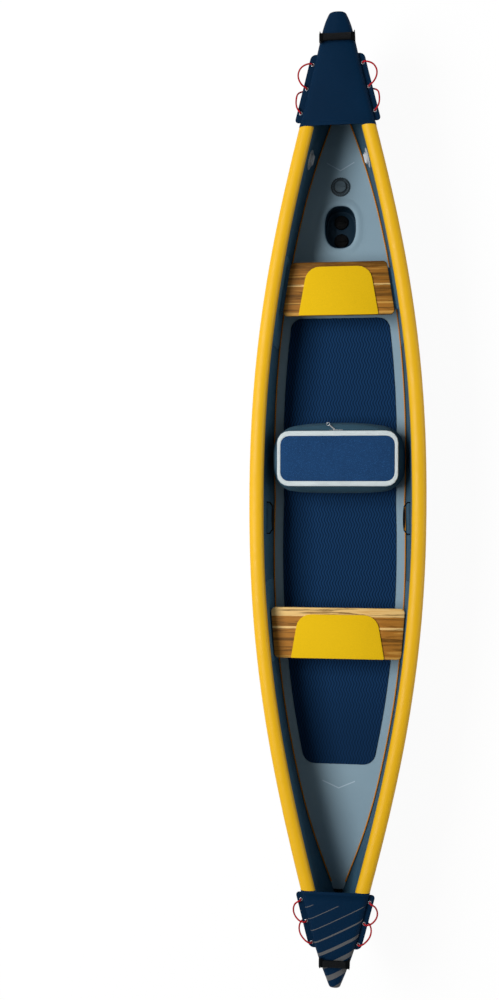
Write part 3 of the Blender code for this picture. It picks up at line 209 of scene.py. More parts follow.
# Grab cords: the port cords' route points, which the starboard ones mirror
CORD_STEP = 0.008
STERN_CORD_ROUTE = [
    (0.1225, 2.147, 0.5745), (0.1225, 2.147, 0.5880), (0.1260, 2.146, 0.6050),
    (0.1400, 2.143, 0.6150), (0.1580, 2.137, 0.6175), (0.1760, 2.126, 0.6170),
    (0.1890, 2.106, 0.6150), (0.1920, 2.083, 0.6130), (0.1850, 2.060, 0.6110),
    (0.1720, 2.042, 0.6080), (0.1590, 2.034, 0.6020), (0.1525, 2.032, 0.5920),
    (0.1518, 2.032, 0.5799), (0.1540, 2.032, 0.5680), (0.1640, 2.030, 0.5600),
    (0.1780, 2.026, 0.5620), (0.1900, 2.018, 0.5720), (0.1990, 2.004, 0.5830),
    (0.2030, 1.984, 0.5890), (0.2040, 1.962, 0.5910), (0.2010, 1.942, 0.5920),
    (0.1930, 1.926, 0.5920), (0.1850, 1.918, 0.5860), (0.1820, 1.916, 0.5720),
    (0.1820, 1.916, 0.5585),
]
BOW_CORD_ROUTE = [
    (0.1687, -1.9651, 0.5620), (0.1687, -1.9651, 0.5754), (0.1700, -1.9660, 0.5880),
    (0.1790, -1.9700, 0.5960), (0.1920, -1.9780, 0.5940), (0.2010, -1.9930, 0.5850),
    (0.2060, -2.0120, 0.5760), (0.2050, -2.0320, 0.5720), (0.1970, -2.0490, 0.5760),
    (0.1830, -2.0610, 0.5880), (0.1660, -2.0670, 0.5990), (0.1510, -2.0690, 0.6000),
    (0.1425, -2.0680, 0.5935), (0.1417, -2.0675, 0.5826), (0.1440, -2.0675, 0.5700),
    (0.1540, -2.0690, 0.5630), (0.1670, -2.0760, 0.5650), (0.1750, -2.0900, 0.5760),
    (0.1760, -2.1080, 0.5900), (0.1680, -2.1280, 0.6030), (0.1530, -2.1450, 0.6110),
    (0.1370, -2.1580, 0.6140), (0.1220, -2.1660, 0.6110), (0.1140, -2.1682, 0.6020),
    (0.1132, -2.1683, 0.5901), (0.1132, -2.1683, 0.5765),
]
KNOT_HEIGHT = 1.6
KNOT_SPREAD = 0.62
KNOT_THICKNESS = 0.42
CORD_ROUTES = {"stern": STERN_CORD_ROUTE, "bow": BOW_CORD_ROUTE}

# Camera, as the photograph's right-hand view: straight down, off to the side of the canoe
PICTURE_SIZE = (499, 1000)
FOCAL_PIXELS = 1111
CAMERA_HEIGHT = 6.05
CAMERA_X = 0.28
CAMERA_Y = 0.005
CANOE_CENTRE_PIXEL = 336.8
CAMERA_ROLL = 0.18
SENSOR = 36.0

# Light
LAMPS = {
    "key": ((-3.91, 0.7, 6.10), (0.0, 0.0, 0.3), (2.7, 4.6), 515.0),
    "fill": ((7.0, 0.5, 2.0), (0.0, 0.0, 0.4), (3.0, 5.0), 145.0),
}
AMBIENT = 0.155
FLOOR_COLOUR = (0.80, 0.80, 0.80, 1)
FLOOR_GLOW = 1.03
FLOOR_GLOW_SHARE = 0.92


def length_property(name, description, default):
    return bpy.props.FloatProperty(
        name=name, description=description, default=default, min=0.0, unit="LENGTH", precision=4
    )


def colour_property(name, description, default):
    return bpy.props.FloatVectorProperty(
        name=name, description=description, default=default, subtype="COLOR", size=3, min=0, max=1
    )


class CanoeSizes(bpy.types.PropertyGroup):
    cord: length_property("Cord", "Diameter of the grab cords", 0.008)
    knot: length_property("Knot", "Radius of the cords' stopper knots", 0.0072)
    eyelet: length_property("Eyelet", "Inner radius of the eyelets' rings", 0.0048)
    weave: length_property("Weave", "Pitch of the hull fabric's weave", 0.0024)
    groove_pitch: length_property("Groove pitch", "Distance between the mat's grooves", 0.0147)
    groove_wave: length_property("Groove wave", "Length of the grooves' waves", 0.055)
    groove_sway: length_property("Groove sway", "How far the grooves sway", 0.0052)
    groove_depth: length_property("Groove depth", "Depth of the mat's grooves", 0.0018)
    board_edge: length_property("Board edge", "Rounding of the benches' edges", 0.004)
    hem: length_property("Hem", "Width of the end caps' hems", 0.016)
    zip_height: length_property("Zip", "Height of the bag's zip band", 0.022)


class CanoeColours(bpy.types.PropertyGroup):
    gunwale: colour_property("Gunwale", "Covers of the gunwales", (0.77, 0.43, 0.006))
    cap: colour_property("Cap", "End caps and cord flaps", (0.0008, 0.014, 0.040))
    cap_stripe: colour_property("Cap stripe", "Bow cap's stripes", (0.13, 0.13, 0.13))
    wall: colour_property("Wall", "Inner walls", (0.040, 0.107, 0.168))
    side: colour_property("Side", "Outer sides", (0.028, 0.085, 0.14))
    bottom: colour_property("Bottom", "Bottom skin", (0.047, 0.091, 0.133))
    flame: colour_property("Flame", "Warm end of the sides' print", (0.83, 0.33, 0.012))
    olive: colour_property("Olive", "Middle of the sides' print", (0.11, 0.09, 0.022))
    floor: colour_property("Floor", "Floor", (0.26, 0.37, 0.44))
    chevron: colour_property("Chevron", "Marks near the floor's ends", (0.50, 0.62, 0.70))
    mat: colour_property("Mat", "Foam mat", (0.0076, 0.036, 0.101))
    piping: colour_property("Piping", "Beads along the floor", (0.68, 0.24, 0.012))
    wood: colour_property("Wood", "Middle tone of the benches", (0.36, 0.145, 0.020))
    pad: colour_property("Pad", "Benches' pads", (0.73, 0.455, 0.006))
    bag_top: colour_property("Bag top", "Bag's top panel", (0.011, 0.051, 0.145))
    bag_body: colour_property("Bag body", "Bag's sides", (0.044, 0.130, 0.200))
    binding: colour_property("Binding", "Bag's binding", (0.78, 0.87, 0.90))
    black: colour_property("Black", "Webbing and plastic", (0.0022, 0.0026, 0.0032))
    cord: colour_property("Cord", "Grab cords", (0.66, 0.004, 0.016))
    valve: colour_property("Valve", "Valves", (0.50, 0.52, 0.54))
    zip_metal: colour_property("Zip metal", "Bag's zip slider and puller", (0.42, 0.44, 0.46))
    eyelet: colour_property("Eyelet", "Eyelets' rings", (0.30, 0.31, 0.32))
    recess: colour_property("Recess", "Drain recess", (0.010, 0.030, 0.052))


def clamp(value, low=0.0, high=1.0):
    return min(high, max(low, value))


def end_and_share(u):
    return (1 if u >= 0 else -1), min(abs(u), 1.0)


def half_beam(u):
    end, t = end_and_share(u)
    start, drop, power = NOSE[end]
    full = PLAN_END_HALF + (BEAM / 2 - PLAN_END_HALF) * (1 - t**PLAN_POWER) ** PLAN_FULLNESS
    past = max(0.0, NOSE_CORNER - (1 - t) * HALF_LENGTH)
    rounding = NOSE_CORNER - math.sqrt(max(0.0, NOSE_CORNER**2 - past**2))
    return full - drop * max(0.0, (t - start) / (1 - start)) ** power - rounding


def sheer(u):
    """The gunwale's height over the keel."""
    t = end_and_share(u)[1]
    return DEPTH + SHEER_RISE * t * t


def lean(u):
    t = end_and_share(u)[1]
    middle = WALL_LEAN * max(0.0, 1 - t / WALL_LEAN_END) ** 1.3 + WALL_LEAN_LEAST
    return middle * (1 - t**STEM_BLEND) + (half_beam(u) - STEM_HALF) * t**STEM_BLEND


def stem_inset(height, end):
    """How far the stem stands in from the tip at a height over the keel."""
    rise, reach = STEM_CURVE[end]
    top, setback = TIP_SETBACK[end]
    below = clamp(1 - height / rise)
    above = max(0.0, (height - top) / (DEPTH + SHEER_RISE - top))
    return reach * (1 - math.sqrt(1 - below * below)) + setback * above * above


def place(u, x, height, stem_height=None):
    """The point at station u, half-width x and height over the keel."""
    end, t = end_and_share(u)
    rise = height if stem_height is None else stem_height
    share = max(0.0, (t - STEM_START) / (1 - STEM_START))
    inset = stem_inset(rise, end) * share * share * (3 - 2 * share)
    return Vector((x, u * HALF_LENGTH - end * inset, KEEL_Z + height))


def station_at(y):
    return y / HALF_LENGTH


def stations_between(low, high, extra=()):
    """Closely spaced stations of a stretch of hull, closer towards the tips."""
    shares = [1 - (1 - i / HALF_STATIONS) ** STATION_SPREAD for i in range(HALF_STATIONS)]
    shares += [1 - NOSE_CORNER * step / HALF_LENGTH for step in (1.0, 0.65, 0.38, 0.18, 0.05)]
    inside = {end * t for end in (1, -1) for t in shares if low < end * t < high}
    return sorted({low, high, *inside, *(u for u in extra if low < u < high)})


def corner_steps(radius, count=6):
    """How far in from an edge the points of a rounded corner lie."""
    return [radius * (1 - math.cos(math.pi / 2 * k / count)) for k in range(count + 1)]


def corner_drop(y, low, high, radius):
    """How much a rounded corner takes off at y, between two edges."""
    near = clamp(1 - min(y - low, high - y) / radius)
    return radius * (1 - math.sqrt(1 - near * near))


def short_of_tip(u, depth):
    return clamp(u, depth / HALF_LENGTH - 1, 1 - depth / HALF_LENGTH)


def outer_x(u, height):
    """The hull's outermost half-width at a height over the seam."""
    top = sheer(u) - SHOULDER
    return half_beam(u) - lean(u) * clamp((top - height) / (top - SEAM_HEIGHT))


def inner_x(u, height):
    """The half-width of a side chamber's inner wall."""
    return max(GAP, outer_x(u, height) - PANEL + TRIM + SKIN_GAP)


def floor_half(u):
    return inner_x(u, SEAM_HEIGHT) - SKIN_GAP


def shoulder(u):
    """The centre and radius of a side chamber's rounded top."""
    top = sheer(u) - SHOULDER
    out, inside = outer_x(u, top) - TRIM - SKIN_GAP, inner_x(u, top)
    return (out + inside) / 2, (out - inside) / 2


# Mesh helpers


def deselect():
    bpy.ops.object.select_all(action="DESELECT")


def pick(piece):
    """Makes a piece the only selected and active one."""
    deselect()
    piece.select_set(True)
    bpy.context.view_layer.objects.active = piece
    return piece


def new_piece(name, mesh):
    piece = bpy.data.objects.new(name, mesh)
    bpy.context.scene.collection.objects.link(piece)
    return piece


def settle(piece):
    """Moves a piece's place into its mesh."""
    pick(piece)
    bpy.ops.object.transform_apply(location=True, rotation=True, scale=True)
    return piece


def apply_modifiers(piece):
    pick(piece)
    for modifier in list(piece.modifiers):
        bpy.ops.object.modifier_apply(modifier=modifier.name)
    return piece


def smooth(piece, angle=35):
    pick(piece)
    bpy.ops.object.shade_smooth_by_angle(angle=math.radians(angle))
    return piece


def mesh_piece(name, verts, faces, uvs=None, slots=None):
    """A piece from points and faces, turned outwards. uvs has one pair in metres for each point."""
    mesh = bpy.data.meshes.new(name)
    mesh.from_pydata([tuple(v) for v in verts], [], faces)
    if slots:
        mesh.polygons.foreach_set("material_index", slots)
    if uvs:
        layer = mesh.uv_layers.new(name="surface")
        for loop in mesh.loops:
            layer.data[loop.index].uv = uvs[loop.vertex_index]
    work = bmesh.new()
    work.from_mesh(mesh)
    bmesh.ops.recalc_face_normals(work, faces=work.faces)
    work.to_mesh(mesh)
    work.free()
    return new_piece(name, mesh)


def flat_list(rows):
    return [item for row in rows for item in row]


def quads(rows, count, start=0, ring=False, wheel=False):
    """Faces between rows of points. A ring closes each row, a wheel joins the last to the first."""
    faces = []
    for i in range(rows if wheel else rows - 1):
        base, ahead = start + i * count, start + (i + 1) % rows * count
        for k in range(count if ring else count - 1):
            n = (k + 1) % count
            faces.append((base + k, base + n, ahead + n, ahead + k))
    return faces


def ring_loft(name, rings, angle=35, uvs=None, slot_of=None):
    """A closed piece from rings of as many points, with its first and last ring filled."""
    rows, count = len(rings), len(rings[0])
    last = (rows - 1) * count
    faces = quads(rows, count, ring=True)
    faces += [tuple(range(count)), tuple(range(last, last + count))]
    slots = [slot_of(k) for k in range(count)] * (rows - 1) + [0, 0] if slot_of else None
    piece = mesh_piece(name, flat_list(rings), faces, flat_list(uvs) if uvs else None, slots)
    return smooth(piece, angle)


def closed_sweep(name, rings):
    """A closed ring-shaped piece from sections that follow each other all the way round."""
    faces = quads(len(rings), len(rings[0]), ring=True, wheel=True)
    return smooth(mesh_piece(name, flat_list(rings), faces), 45)


def thick_sheet(name, outer, inner, close_start=False, close_end=False, uvs=None):
    """A closed skin from two grids of points. A closed end joins each row's two halves."""
    rows, count = len(outer), len(outer[0])
    far = rows * count
    faces = quads(rows, count) + quads(rows, count, far)
    for i in range(rows - 1):
        for k in (0, count - 1):
            a = i * count + k
            faces.append((a, a + count, far + a + count, far + a))
    for row, closed in ((0, close_start), (rows - 1, close_end)):
        first = row * count
        if not closed:
            for k in range(first, first + count - 1):
                faces.append((k, k + 1, far + k + 1, far + k))
            continue
        for start in (first, far + first):
            low, high = start, start + count - 1
            while high - low > 2:
                faces.append((low, low + 1, high - 1, high))
                low, high = low + 1, high - 1
            if high - low == 2:
                faces.append((low, low + 1, high))
        faces.append((first, first + count - 1, far + first + count - 1, far + first))
    flat = flat_list(uvs) * 2 if uvs else None
    return smooth(mesh_piece(name, flat_list(outer + inner), faces, flat), 50)


def rounded_copy(node, name, width, segments=3):
    """A copy of a solid with merged faces and rounded edges."""
    piece = new_piece(name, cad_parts[node].data.copy())
    piece.data.materials.clear()
    pick(piece)
    bpy.ops.object.mode_set(mode="EDIT")
    bpy.ops.mesh.select_all(action="SELECT")
    bpy.ops.mesh.remove_doubles(threshold=0.00002)
    bpy.ops.mesh.dissolve_limited(angle_limit=math.radians(2))
    bpy.ops.object.mode_set(mode="OBJECT")
    if width:
        bevel = piece.modifiers.new("rounding", "BEVEL")
        bevel.width = width
        bevel.segments = segments
        bevel.limit_method = "ANGLE"
        bevel.angle_limit = math.radians(40)
        bevel.miter_outer = "MITER_ARC"
        apply_modifiers(piece)
    return smooth(piece)


def torus_piece(name, centre, major, minor, squash=1.0, turns=24, normal=(0, 0, 1)):
    """A ring round a normal, flattened along it in edit mode."""
    deselect()
    turn = Vector(normal).to_track_quat("Z", "Y").to_euler()
    bpy.ops.mesh.primitive_torus_add(
        major_segments=turns, minor_segments=8, major_radius=major, minor_radius=minor
    )
    piece = bpy.context.object
    piece.name = name
    bpy.ops.object.mode_set(mode="EDIT")
    bpy.ops.mesh.select_all(action="SELECT")
    bpy.ops.transform.resize(value=(1, 1, squash))
    bpy.ops.object.mode_set(mode="OBJECT")
    piece.rotation_euler = turn
    piece.location = centre
    settle(piece)
    return smooth(piece, 60)


def arc(middle, reach, start, stop, count):
    """Points along an arc of an ellipse, between two angles in degrees."""
    turns = [math.radians(start + (stop - start) * k / count) for k in range(count + 1)]
    return [(middle[0] + reach[0] * math.cos(a), middle[1] + reach[1] * math.sin(a)) for a in turns]


def squarish(sides, power=2):
    """Points round a circle of radius 1, which a higher power pushes out towards a square."""
    points = []
    for k in range(sides):
        across, lift = math.cos(math.tau * k / sides), math.sin(math.tau * k / sides)
        reach = (abs(across) ** power + abs(lift) ** power) ** (-1 / power)
        points.append((across * reach, lift * reach))
    return points


def way_along(points, i):
    """The direction of a path at one of its points."""
    return (points[min(len(points) - 1, i + 1)] - points[max(0, i - 1)]).normalized()


def dress(piece, finish, body, slot, *nodes):
    """Gives a piece its finish and body, and hides the solids that it stands for."""
    if finish:
        piece.data.materials.clear()
        piece.data.materials.append(finish)
    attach(piece, body)
    if nodes:
        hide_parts(*nodes)
    return piece


def dressed_copy(node, name, width, segments, finish, body, slot):
    """A rounded copy of a solid that stands for it."""
    return dress(rounded_copy(node, name, width, segments), finish, body, slot, node)


def refinish(node, finish):
    """Assigns a finish to all material slots of a solid that stays."""
    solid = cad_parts[node]
    for slot in solid.material_slots:
        slot.material = finish


def smooth_route(points, step):
    """Evenly spaced points along the Catmull-Rom curve through a route's own points."""
    ends = [points[0]] + points + [points[-1]]
    fine = []
    for a, b, c, d in zip(ends, ends[1:], ends[2:], ends[3:]):
        a, b, c, d = (Vector(p) for p in (a, b, c, d))
        for k in range(10):
            s = k / 10
            bend = (2 * a - 5 * b + 4 * c - d) * s * s + (3 * b - a - 3 * c + d) * s**3
            fine.append(0.5 * (2 * b + (c - a) * s + bend))
    fine.append(Vector(points[-1]))
    lengths = [(q - p).length for p, q in zip(fine, fine[1:])]
    total = sum(lengths)
    count = max(2, round(total / step))
    spaced, travelled, i = [fine[0]], 0.0, 0
    for k in range(1, count):
        target = total * k / count
        while travelled + lengths[i] < target:
            travelled += lengths[i]
            i += 1
        spaced.append(fine[i].lerp(fine[i + 1], (target - travelled) / lengths[i]))
    return spaced + [fine[-1]], total


def tube(name, points, radius, sides):
    """A closed mesh tube along points, kept from twisting, with a UV in metres."""
    rings, uvs = [], []
    travelled = 0.0
    side = None
    for i, point in enumerate(points):
        along = way_along(points, i)
        if side is None:
            side = along.orthogonal().normalized()
        side = (side - along * side.dot(along)).normalized()
        up = along.cross(side)
        if i:
            travelled += (point - points[i - 1]).length
        angles = [math.tau * k / sides for k in range(sides)]
        rings.append([point + (side * math.cos(a) + up * math.sin(a)) * radius for a in angles])
        uvs.append([(travelled, a * radius) for a in angles])
    return ring_loft(name, rings, 60, uvs)


# Finishes


class Finish:
    """A material being made: each method adds nodes and returns the output that they end in."""

    def __init__(self, name, roughness=0.5, gloss=0.1, **sockets):
        self.material = bpy.data.materials.new(name)
        self.material.use_nodes = True
        self.tree = self.material.node_tree
        self.shader = self.tree.nodes["Principled BSDF"]
        self.shader.inputs["Roughness"].default_value = roughness
        self.shader.inputs["Specular IOR Level"].default_value = gloss
        for socket, value in sockets.items():
            self.shader.inputs[socket.replace("_", " ")].default_value = value

    def node(self, kind, **settings):
        node = self.tree.nodes.new(kind)
        for key, value in settings.items():
            setattr(node, key, value)
        return node

    def feed(self, socket, value):
        if isinstance(value, bpy.types.NodeSocket):
            self.tree.links.new(value, socket)
        else:
            socket.default_value = value

    def maths(self, operation, first, second=0.0, third=None):
        node = self.node("ShaderNodeMath", operation=operation)
        self.feed(node.inputs[0], first)
        self.feed(node.inputs[1], second)
        if third is not None:
            self.feed(node.inputs[2], third)
        return node.outputs[0]

    def vector(self, operation, first, second=(0, 0, 0)):
        node = self.node("ShaderNodeVectorMath", operation=operation)
        self.feed(node.inputs[0], first)
        self.feed(node.inputs[1], second)
        return node.outputs[0]

    def axes(self, value):
        node = self.node("ShaderNodeSeparateXYZ")
        self.feed(node.inputs[0], value)
        return node.outputs

    def joined(self, x, y, z=0.0):
        node = self.node("ShaderNodeCombineXYZ")
        for socket, value in zip(node.inputs, (x, y, z)):
            self.feed(socket, value)
        return node.outputs[0]

    def place(self):
        return self.node("ShaderNodeTexCoord").outputs["Object"]

    def surface(self):
        return self.node("ShaderNodeUVMap", uv_map="surface").outputs[0]

    def noise(self, at, scale, detail=3.0, roughness=0.5, distortion=0.0):
        node = self.node("ShaderNodeTexNoise")
        self.feed(node.inputs["Vector"], at)
        node.inputs["Scale"].default_value = scale
        node.inputs["Detail"].default_value = detail
        node.inputs["Roughness"].default_value = roughness
        node.inputs["Distortion"].default_value = distortion
        return node.outputs[0]

    def stretch(self, value, low, high, to_low=0.0, to_high=1.0):
        """The value's range from low to high spread smoothly over another."""
        node = self.node("ShaderNodeMapRange", interpolation_type="SMOOTHSTEP")
        for socket, number in zip(node.inputs, (value, low, high, to_low, to_high)):
            self.feed(socket, number)
        return node.outputs[0]

    def mix(self, share, first, second):
        node = self.node("ShaderNodeMix", data_type="RGBA")
        self.feed(node.inputs[0], share)
        self.feed(node.inputs[6], first)
        self.feed(node.inputs[7], second)
        return node.outputs[2]

    def ramp(self, value, stops, interpolation="LINEAR"):
        node = self.node("ShaderNodeValToRGB")
        self.feed(node.inputs[0], value)
        band = node.color_ramp
        band.interpolation = interpolation
        while len(band.elements) < len(stops):
            band.elements.new(0.5)
        for element, (position, colour) in zip(band.elements, stops):
            element.position = position
            element.color = rgba(colour)
        return node.outputs[0]

    def weave(self, at, pitch):
        """A crossed weave that stands out on surfaces of any direction."""
        waves = self.vector("SINE", self.vector("MULTIPLY", at, (math.tau / pitch,) * 3))
        x, y, z = self.axes(waves)
        first = self.maths("MULTIPLY", x, y)
        return self.maths("MULTIPLY_ADD", z, self.maths("ADD", x, y), first)

    def mottled(self, at, colour, low, high, scale, detail=3.0):
        """A colour that drifts between two tones of itself."""
        return self.mix(self.noise(at, scale, detail), toned(colour, low), toned(colour, high))

    def worn(self, at, scale, roughness, less, more):
        """A roughness that drifts round its own value."""
        return self.stretch(self.noise(at, scale), 0.3, 0.7, roughness - less, roughness + more)

    def woven(self, at, scale, depth, thread=0.00012):
        """The hull fabric's weave, on a face with broad waves."""
        waviness = self.bump(self.noise(at, scale, 2.0), depth)
        return self.bump(self.weave(at, sizes().weave), thread, waviness)

    def bump(self, height, depth, below=None):
        node = self.node("ShaderNodeBump")
        node.inputs["Distance"].default_value = depth
        self.feed(node.inputs["Height"], height)
        if below is not None:
            self.feed(node.inputs["Normal"], below)
        return node.outputs[0]

    def done(self, colour=None, normal=None, roughness=None):
        for socket, value in (("Base Color", colour), ("Normal", normal), ("Roughness", roughness)):
            if value is not None:
                self.feed(self.shader.inputs[socket], value)
        return self.material


def rgba(colour):
    return (*colour[:3], 1.0)


def toned(colour, factor):
    return rgba([min(1.0, c * factor) for c in colour])


def colours():
    return bpy.context.scene.canoe_colours


def sizes():
    return bpy.context.scene.canoe_sizes


FINISHES = {}


def made_once(make):
    """Wraps a finish's function so that a second call with the same name reuses the finish."""

    def found(name, *values):
        if name not in FINISHES:
            FINISHES[name] = make(name, *values)
        return FINISHES[name]

    return found


@made_once
def coated_fabric(name, colour, roughness=0.5, gloss=0.1, variation=0.10, depth=0.00012):
    """Coated hull fabric: a fine weave under a soft sheen, slightly mottled and scuffed."""
    f = Finish(name, roughness, gloss)
    at = f.place()
    tone = f.mottled(at, colour, 1 - variation, 1 + variation, 2.2, 4.0)
    scuffs = f.stretch(f.noise(at, 38.0, 5.0, 0.7), 0.60, 0.78)
    tone = f.mix(f.maths("MULTIPLY", scuffs, 0.16), tone, toned(colour, 1.6))
    return f.done(tone, f.woven(at, 9.0, 0.0022, depth), f.worn(at, 14.0, roughness, 0.07, 0.08))


@made_once
def moulded(name, colour, roughness=0.4, gloss=0.2, grain=0.00010):
    """Moulded plastic or rubber with a fine spark-eroded grain."""
    f = Finish(name, roughness, gloss)
    at = f.place()
    tone = f.mottled(at, colour, 0.88, 1.14, 30.0)
    normal = f.bump(f.noise(at, 1500.0, 2.0), grain)
    return f.done(tone, normal, f.worn(at, 60.0, roughness, 0.08, 0.08))


@made_once
def webbing(name, colour):
    """Flat woven strap: crossed ribs and a slightly dusty face."""
    f = Finish(name, 0.8, 0.03)
    at = f.place()
    tone = f.mottled(at, colour, 0.75, 1.8, 45.0, 4.0)
    return f.done(tone, f.bump(f.weave(at, 0.0026), 0.0005))


@made_once
def closed_foam(name, colour, bead=300.0, roughness=0.78):
    """Closed-cell foam with a brushed face: fine speckle and tiny pores."""
    f = Finish(name, roughness, 0.06, Sheen_Weight=0.03)
    at = f.place()
    fleck = f.noise(at, bead, 3.0, 0.7)
    cloud = f.noise(at, 4.0, 3.0)
    tone = f.mix(fleck, toned(colour, 0.72), toned(colour, 1.32))
    tone = f.mix(f.maths("MULTIPLY", cloud, 0.25), tone, toned(colour, 1.25))
    normal = f.bump(fleck, 0.0003)
    return f.done(tone, normal)


@made_once
def bare_metal(name, colour, roughness=0.3):
    f = Finish(name, roughness, 0.5, Metallic=1.0)
    at = f.place()
    tone = f.mottled(at, colour, 0.82, 1.1, 120.0)
    worn = f.worn(at, 90.0, roughness, 0.1, 0.15)
    return f.done(tone, f.bump(f.noise(at, 900.0, 2.0), 0.00004), worn)


@made_once
def ribbed_rubber(name):
    """Ribbed rubber cloth."""
    f = Finish(name, 0.6, 0.08)
    colour = colours().black
    at = f.place()
    x, y, _ = f.axes(at)
    ribs = f.maths("SINE", f.maths("MULTIPLY", f.maths("ADD", x, y), math.tau / 0.006))
    tone = f.mottled(at, colour, 0.8, 1.8, 60.0)
    return f.done(tone, f.bump(ribs, 0.0008))


def black_plastic():
    return moulded("black_plastic", colours().black, 0.48, 0.06)


def black_webbing():
    return webbing("black_webbing", colours().black)


# Stage


def seen_directly(tree):
    """1 for rays from the camera and from glossy or clear surfaces, else 0."""
    rays = tree.nodes.new("ShaderNodeLightPath")
    seen = rays.outputs["Is Camera Ray"]
    for name in ("Is Glossy Ray", "Is Transmission Ray"):
        either = tree.nodes.new("ShaderNodeMath")
        either.operation = "MAXIMUM"
        tree.links.new(seen, either.inputs[0])
        tree.links.new(rays.outputs[name], either.inputs[1])
        seen = either.outputs[0]
    return seen


class CANOE_OT_set_stage(bpy.types.Operator):
    """Sets the camera, the soft light and the pale floor"""

    bl_idname = "canoe.set_stage"
    bl_label = "Set stage"

    def execute(self, context):
        scene = context.scene
        scene.view_settings.view_transform = "Standard"
        width, height = PICTURE_SIZE
        camera = bpy.data.cameras.new("overhead")
        camera.sensor_fit = "AUTO"
        camera.sensor_width = SENSOR
        camera.lens = FOCAL_PIXELS * SENSOR / max(width, height)
        holder = bpy.data.objects.new("overhead", camera)
        scene.collection.objects.link(holder)
        holder.location = (CAMERA_X, CAMERA_Y, CAMERA_HEIGHT)
        rim = KEEL_Z + DEPTH
        aside = math.atan((CANOE_CENTRE_PIXEL - width / 2) / FOCAL_PIXELS)
        tilt = math.atan(CAMERA_X / (CAMERA_HEIGHT - rim)) + aside
        look = Matrix.Rotation(tilt, 4, "Y") @ Matrix.Rotation(math.radians(CAMERA_ROLL), 4, "Z")
        holder.rotation_euler = look.to_euler()
        scene.camera = holder
        self.add_lamps(scene)
        self.add_floor()
        return {"FINISHED"}

    def add_lamps(self, scene):
        for name, (spot, aim, size, power) in LAMPS.items():
            light = bpy.data.lights.new(name, "AREA")
            light.shape = "RECTANGLE"
            light.size, light.size_y = size
            light.energy = power
            lamp = bpy.data.objects.new(name, light)
            scene.collection.objects.link(lamp)
            lamp.location = spot
            ahead = (Vector(spot) - Vector(aim)).normalized()
            across = Vector((0, 1, 0)).cross(ahead).normalized()
            turn = Matrix((across, ahead.cross(across), ahead)).transposed()
            lamp.rotation_euler = turn.to_euler()
        world = bpy.data.worlds.new("studio")
        world.use_nodes = True
        tree = world.node_tree
        back = tree.nodes["Background"]
        back.inputs["Color"].default_value = (1, 1, 1, 1)
        seen = tree.nodes.new("ShaderNodeMapRange")
        seen.inputs["To Min"].default_value = AMBIENT
        seen.inputs["To Max"].default_value = 1.0
        tree.links.new(seen_directly(tree), seen.inputs["Value"])
        tree.links.new(seen.outputs[0], back.inputs["Strength"])
        scene.world = world

    def add_floor(self):
        deselect()
        bpy.ops.mesh.primitive_plane_add(size=80.0, location=(0, 0, -0.0005))
        floor = bpy.context.object
        floor.name = "studio_floor"
        f = Finish("studio_floor", 0.9, 0.1, Base_Color=FLOOR_COLOUR)
        glow = f.node("ShaderNodeEmission")
        glow.inputs["Strength"].default_value = FLOOR_GLOW
        share = f.maths("MULTIPLY", seen_directly(f.tree), FLOOR_GLOW_SHARE)
        mixed = f.node("ShaderNodeMixShader")
        for socket, value in zip(mixed.inputs, (share, f.shader.outputs[0], glow.outputs[0])):
            f.feed(socket, value)
        f.feed(f.tree.nodes["Material Output"].inputs["Surface"], mixed.outputs[0])
        floor.data.materials.append(f.material)


# Grab cords


class CANOE_OT_lay_cords(bpy.types.Operator):
    """Weaves the four grab cords through their eyelets"""

    bl_idname = "canoe.lay_cords"
    bl_label = "Lay grab cords"

    def execute(self, context):
        finish = self.cord_finish()
        diameter = sizes().cord
        for end in ENDS:
            for side_name, side in SIDES.items():
                name = f"{end}_{side_name}_grab_cord"
                route, total = smooth_route(CORD_ROUTES[end], CORD_STEP)
                points = [Vector((side * x, y, z)) for x, y, z in route]
                curve = bpy.data.curves.new(name, "CURVE")
                curve.dimensions = "3D"
                curve.bevel_depth = diameter / 2
                curve.bevel_resolution = 4
                curve.use_fill_caps = True
                spline = curve.splines.new("POLY")
                spline.points.add(len(points) - 1)
                for point, at in zip(spline.points, points):
                    point.co = (*at, 1)
                spline.use_smooth = True
                cord = bpy.data.objects.new(name + "_rope", curve)
                context.scene.collection.objects.link(cord)
                dress(cord, finish, "hull", "cord_red", name)
                tips = (("start", points[0]), ("end", points[-1]))
                knots = [self.knot(f"{name}_{tip}_knot", at) for tip, at in tips]
                for knot in knots:
                    dress(knot, finish, "hull", "cord_red")
        return {"FINISHED"}

    def knot(self, name, centre):
        """A small overhand knot: the cord wound tightly round itself."""
        reach = sizes().knot
        points = []
        for i in range(49):
            a = math.tau * i / 48
            x = (math.sin(a) + 2 * math.sin(2 * a)) / 3
            y = (math.cos(a) - 2 * math.cos(2 * a)) / 3
            z = -math.sin(3 * a) / 3
            points.append(centre + Vector((x, y, KNOT_HEIGHT * z)) * reach * KNOT_SPREAD)
        return tube(name, points, reach * KNOT_THICKNESS, 10)

    def cord_finish(self):
        colour = colours().cord
        f = Finish("braided_cord", 0.6, 0.08, Sheen_Weight=0.05)
        at = f.place()
        braid = f.weave(at, 0.0021)
        tone = f.mix(f.stretch(braid, -1.0, 1.0), toned(colour, 0.72), toned(colour, 1.25))
        return f.done(tone, f.bump(braid, 0.0006))


# Hull


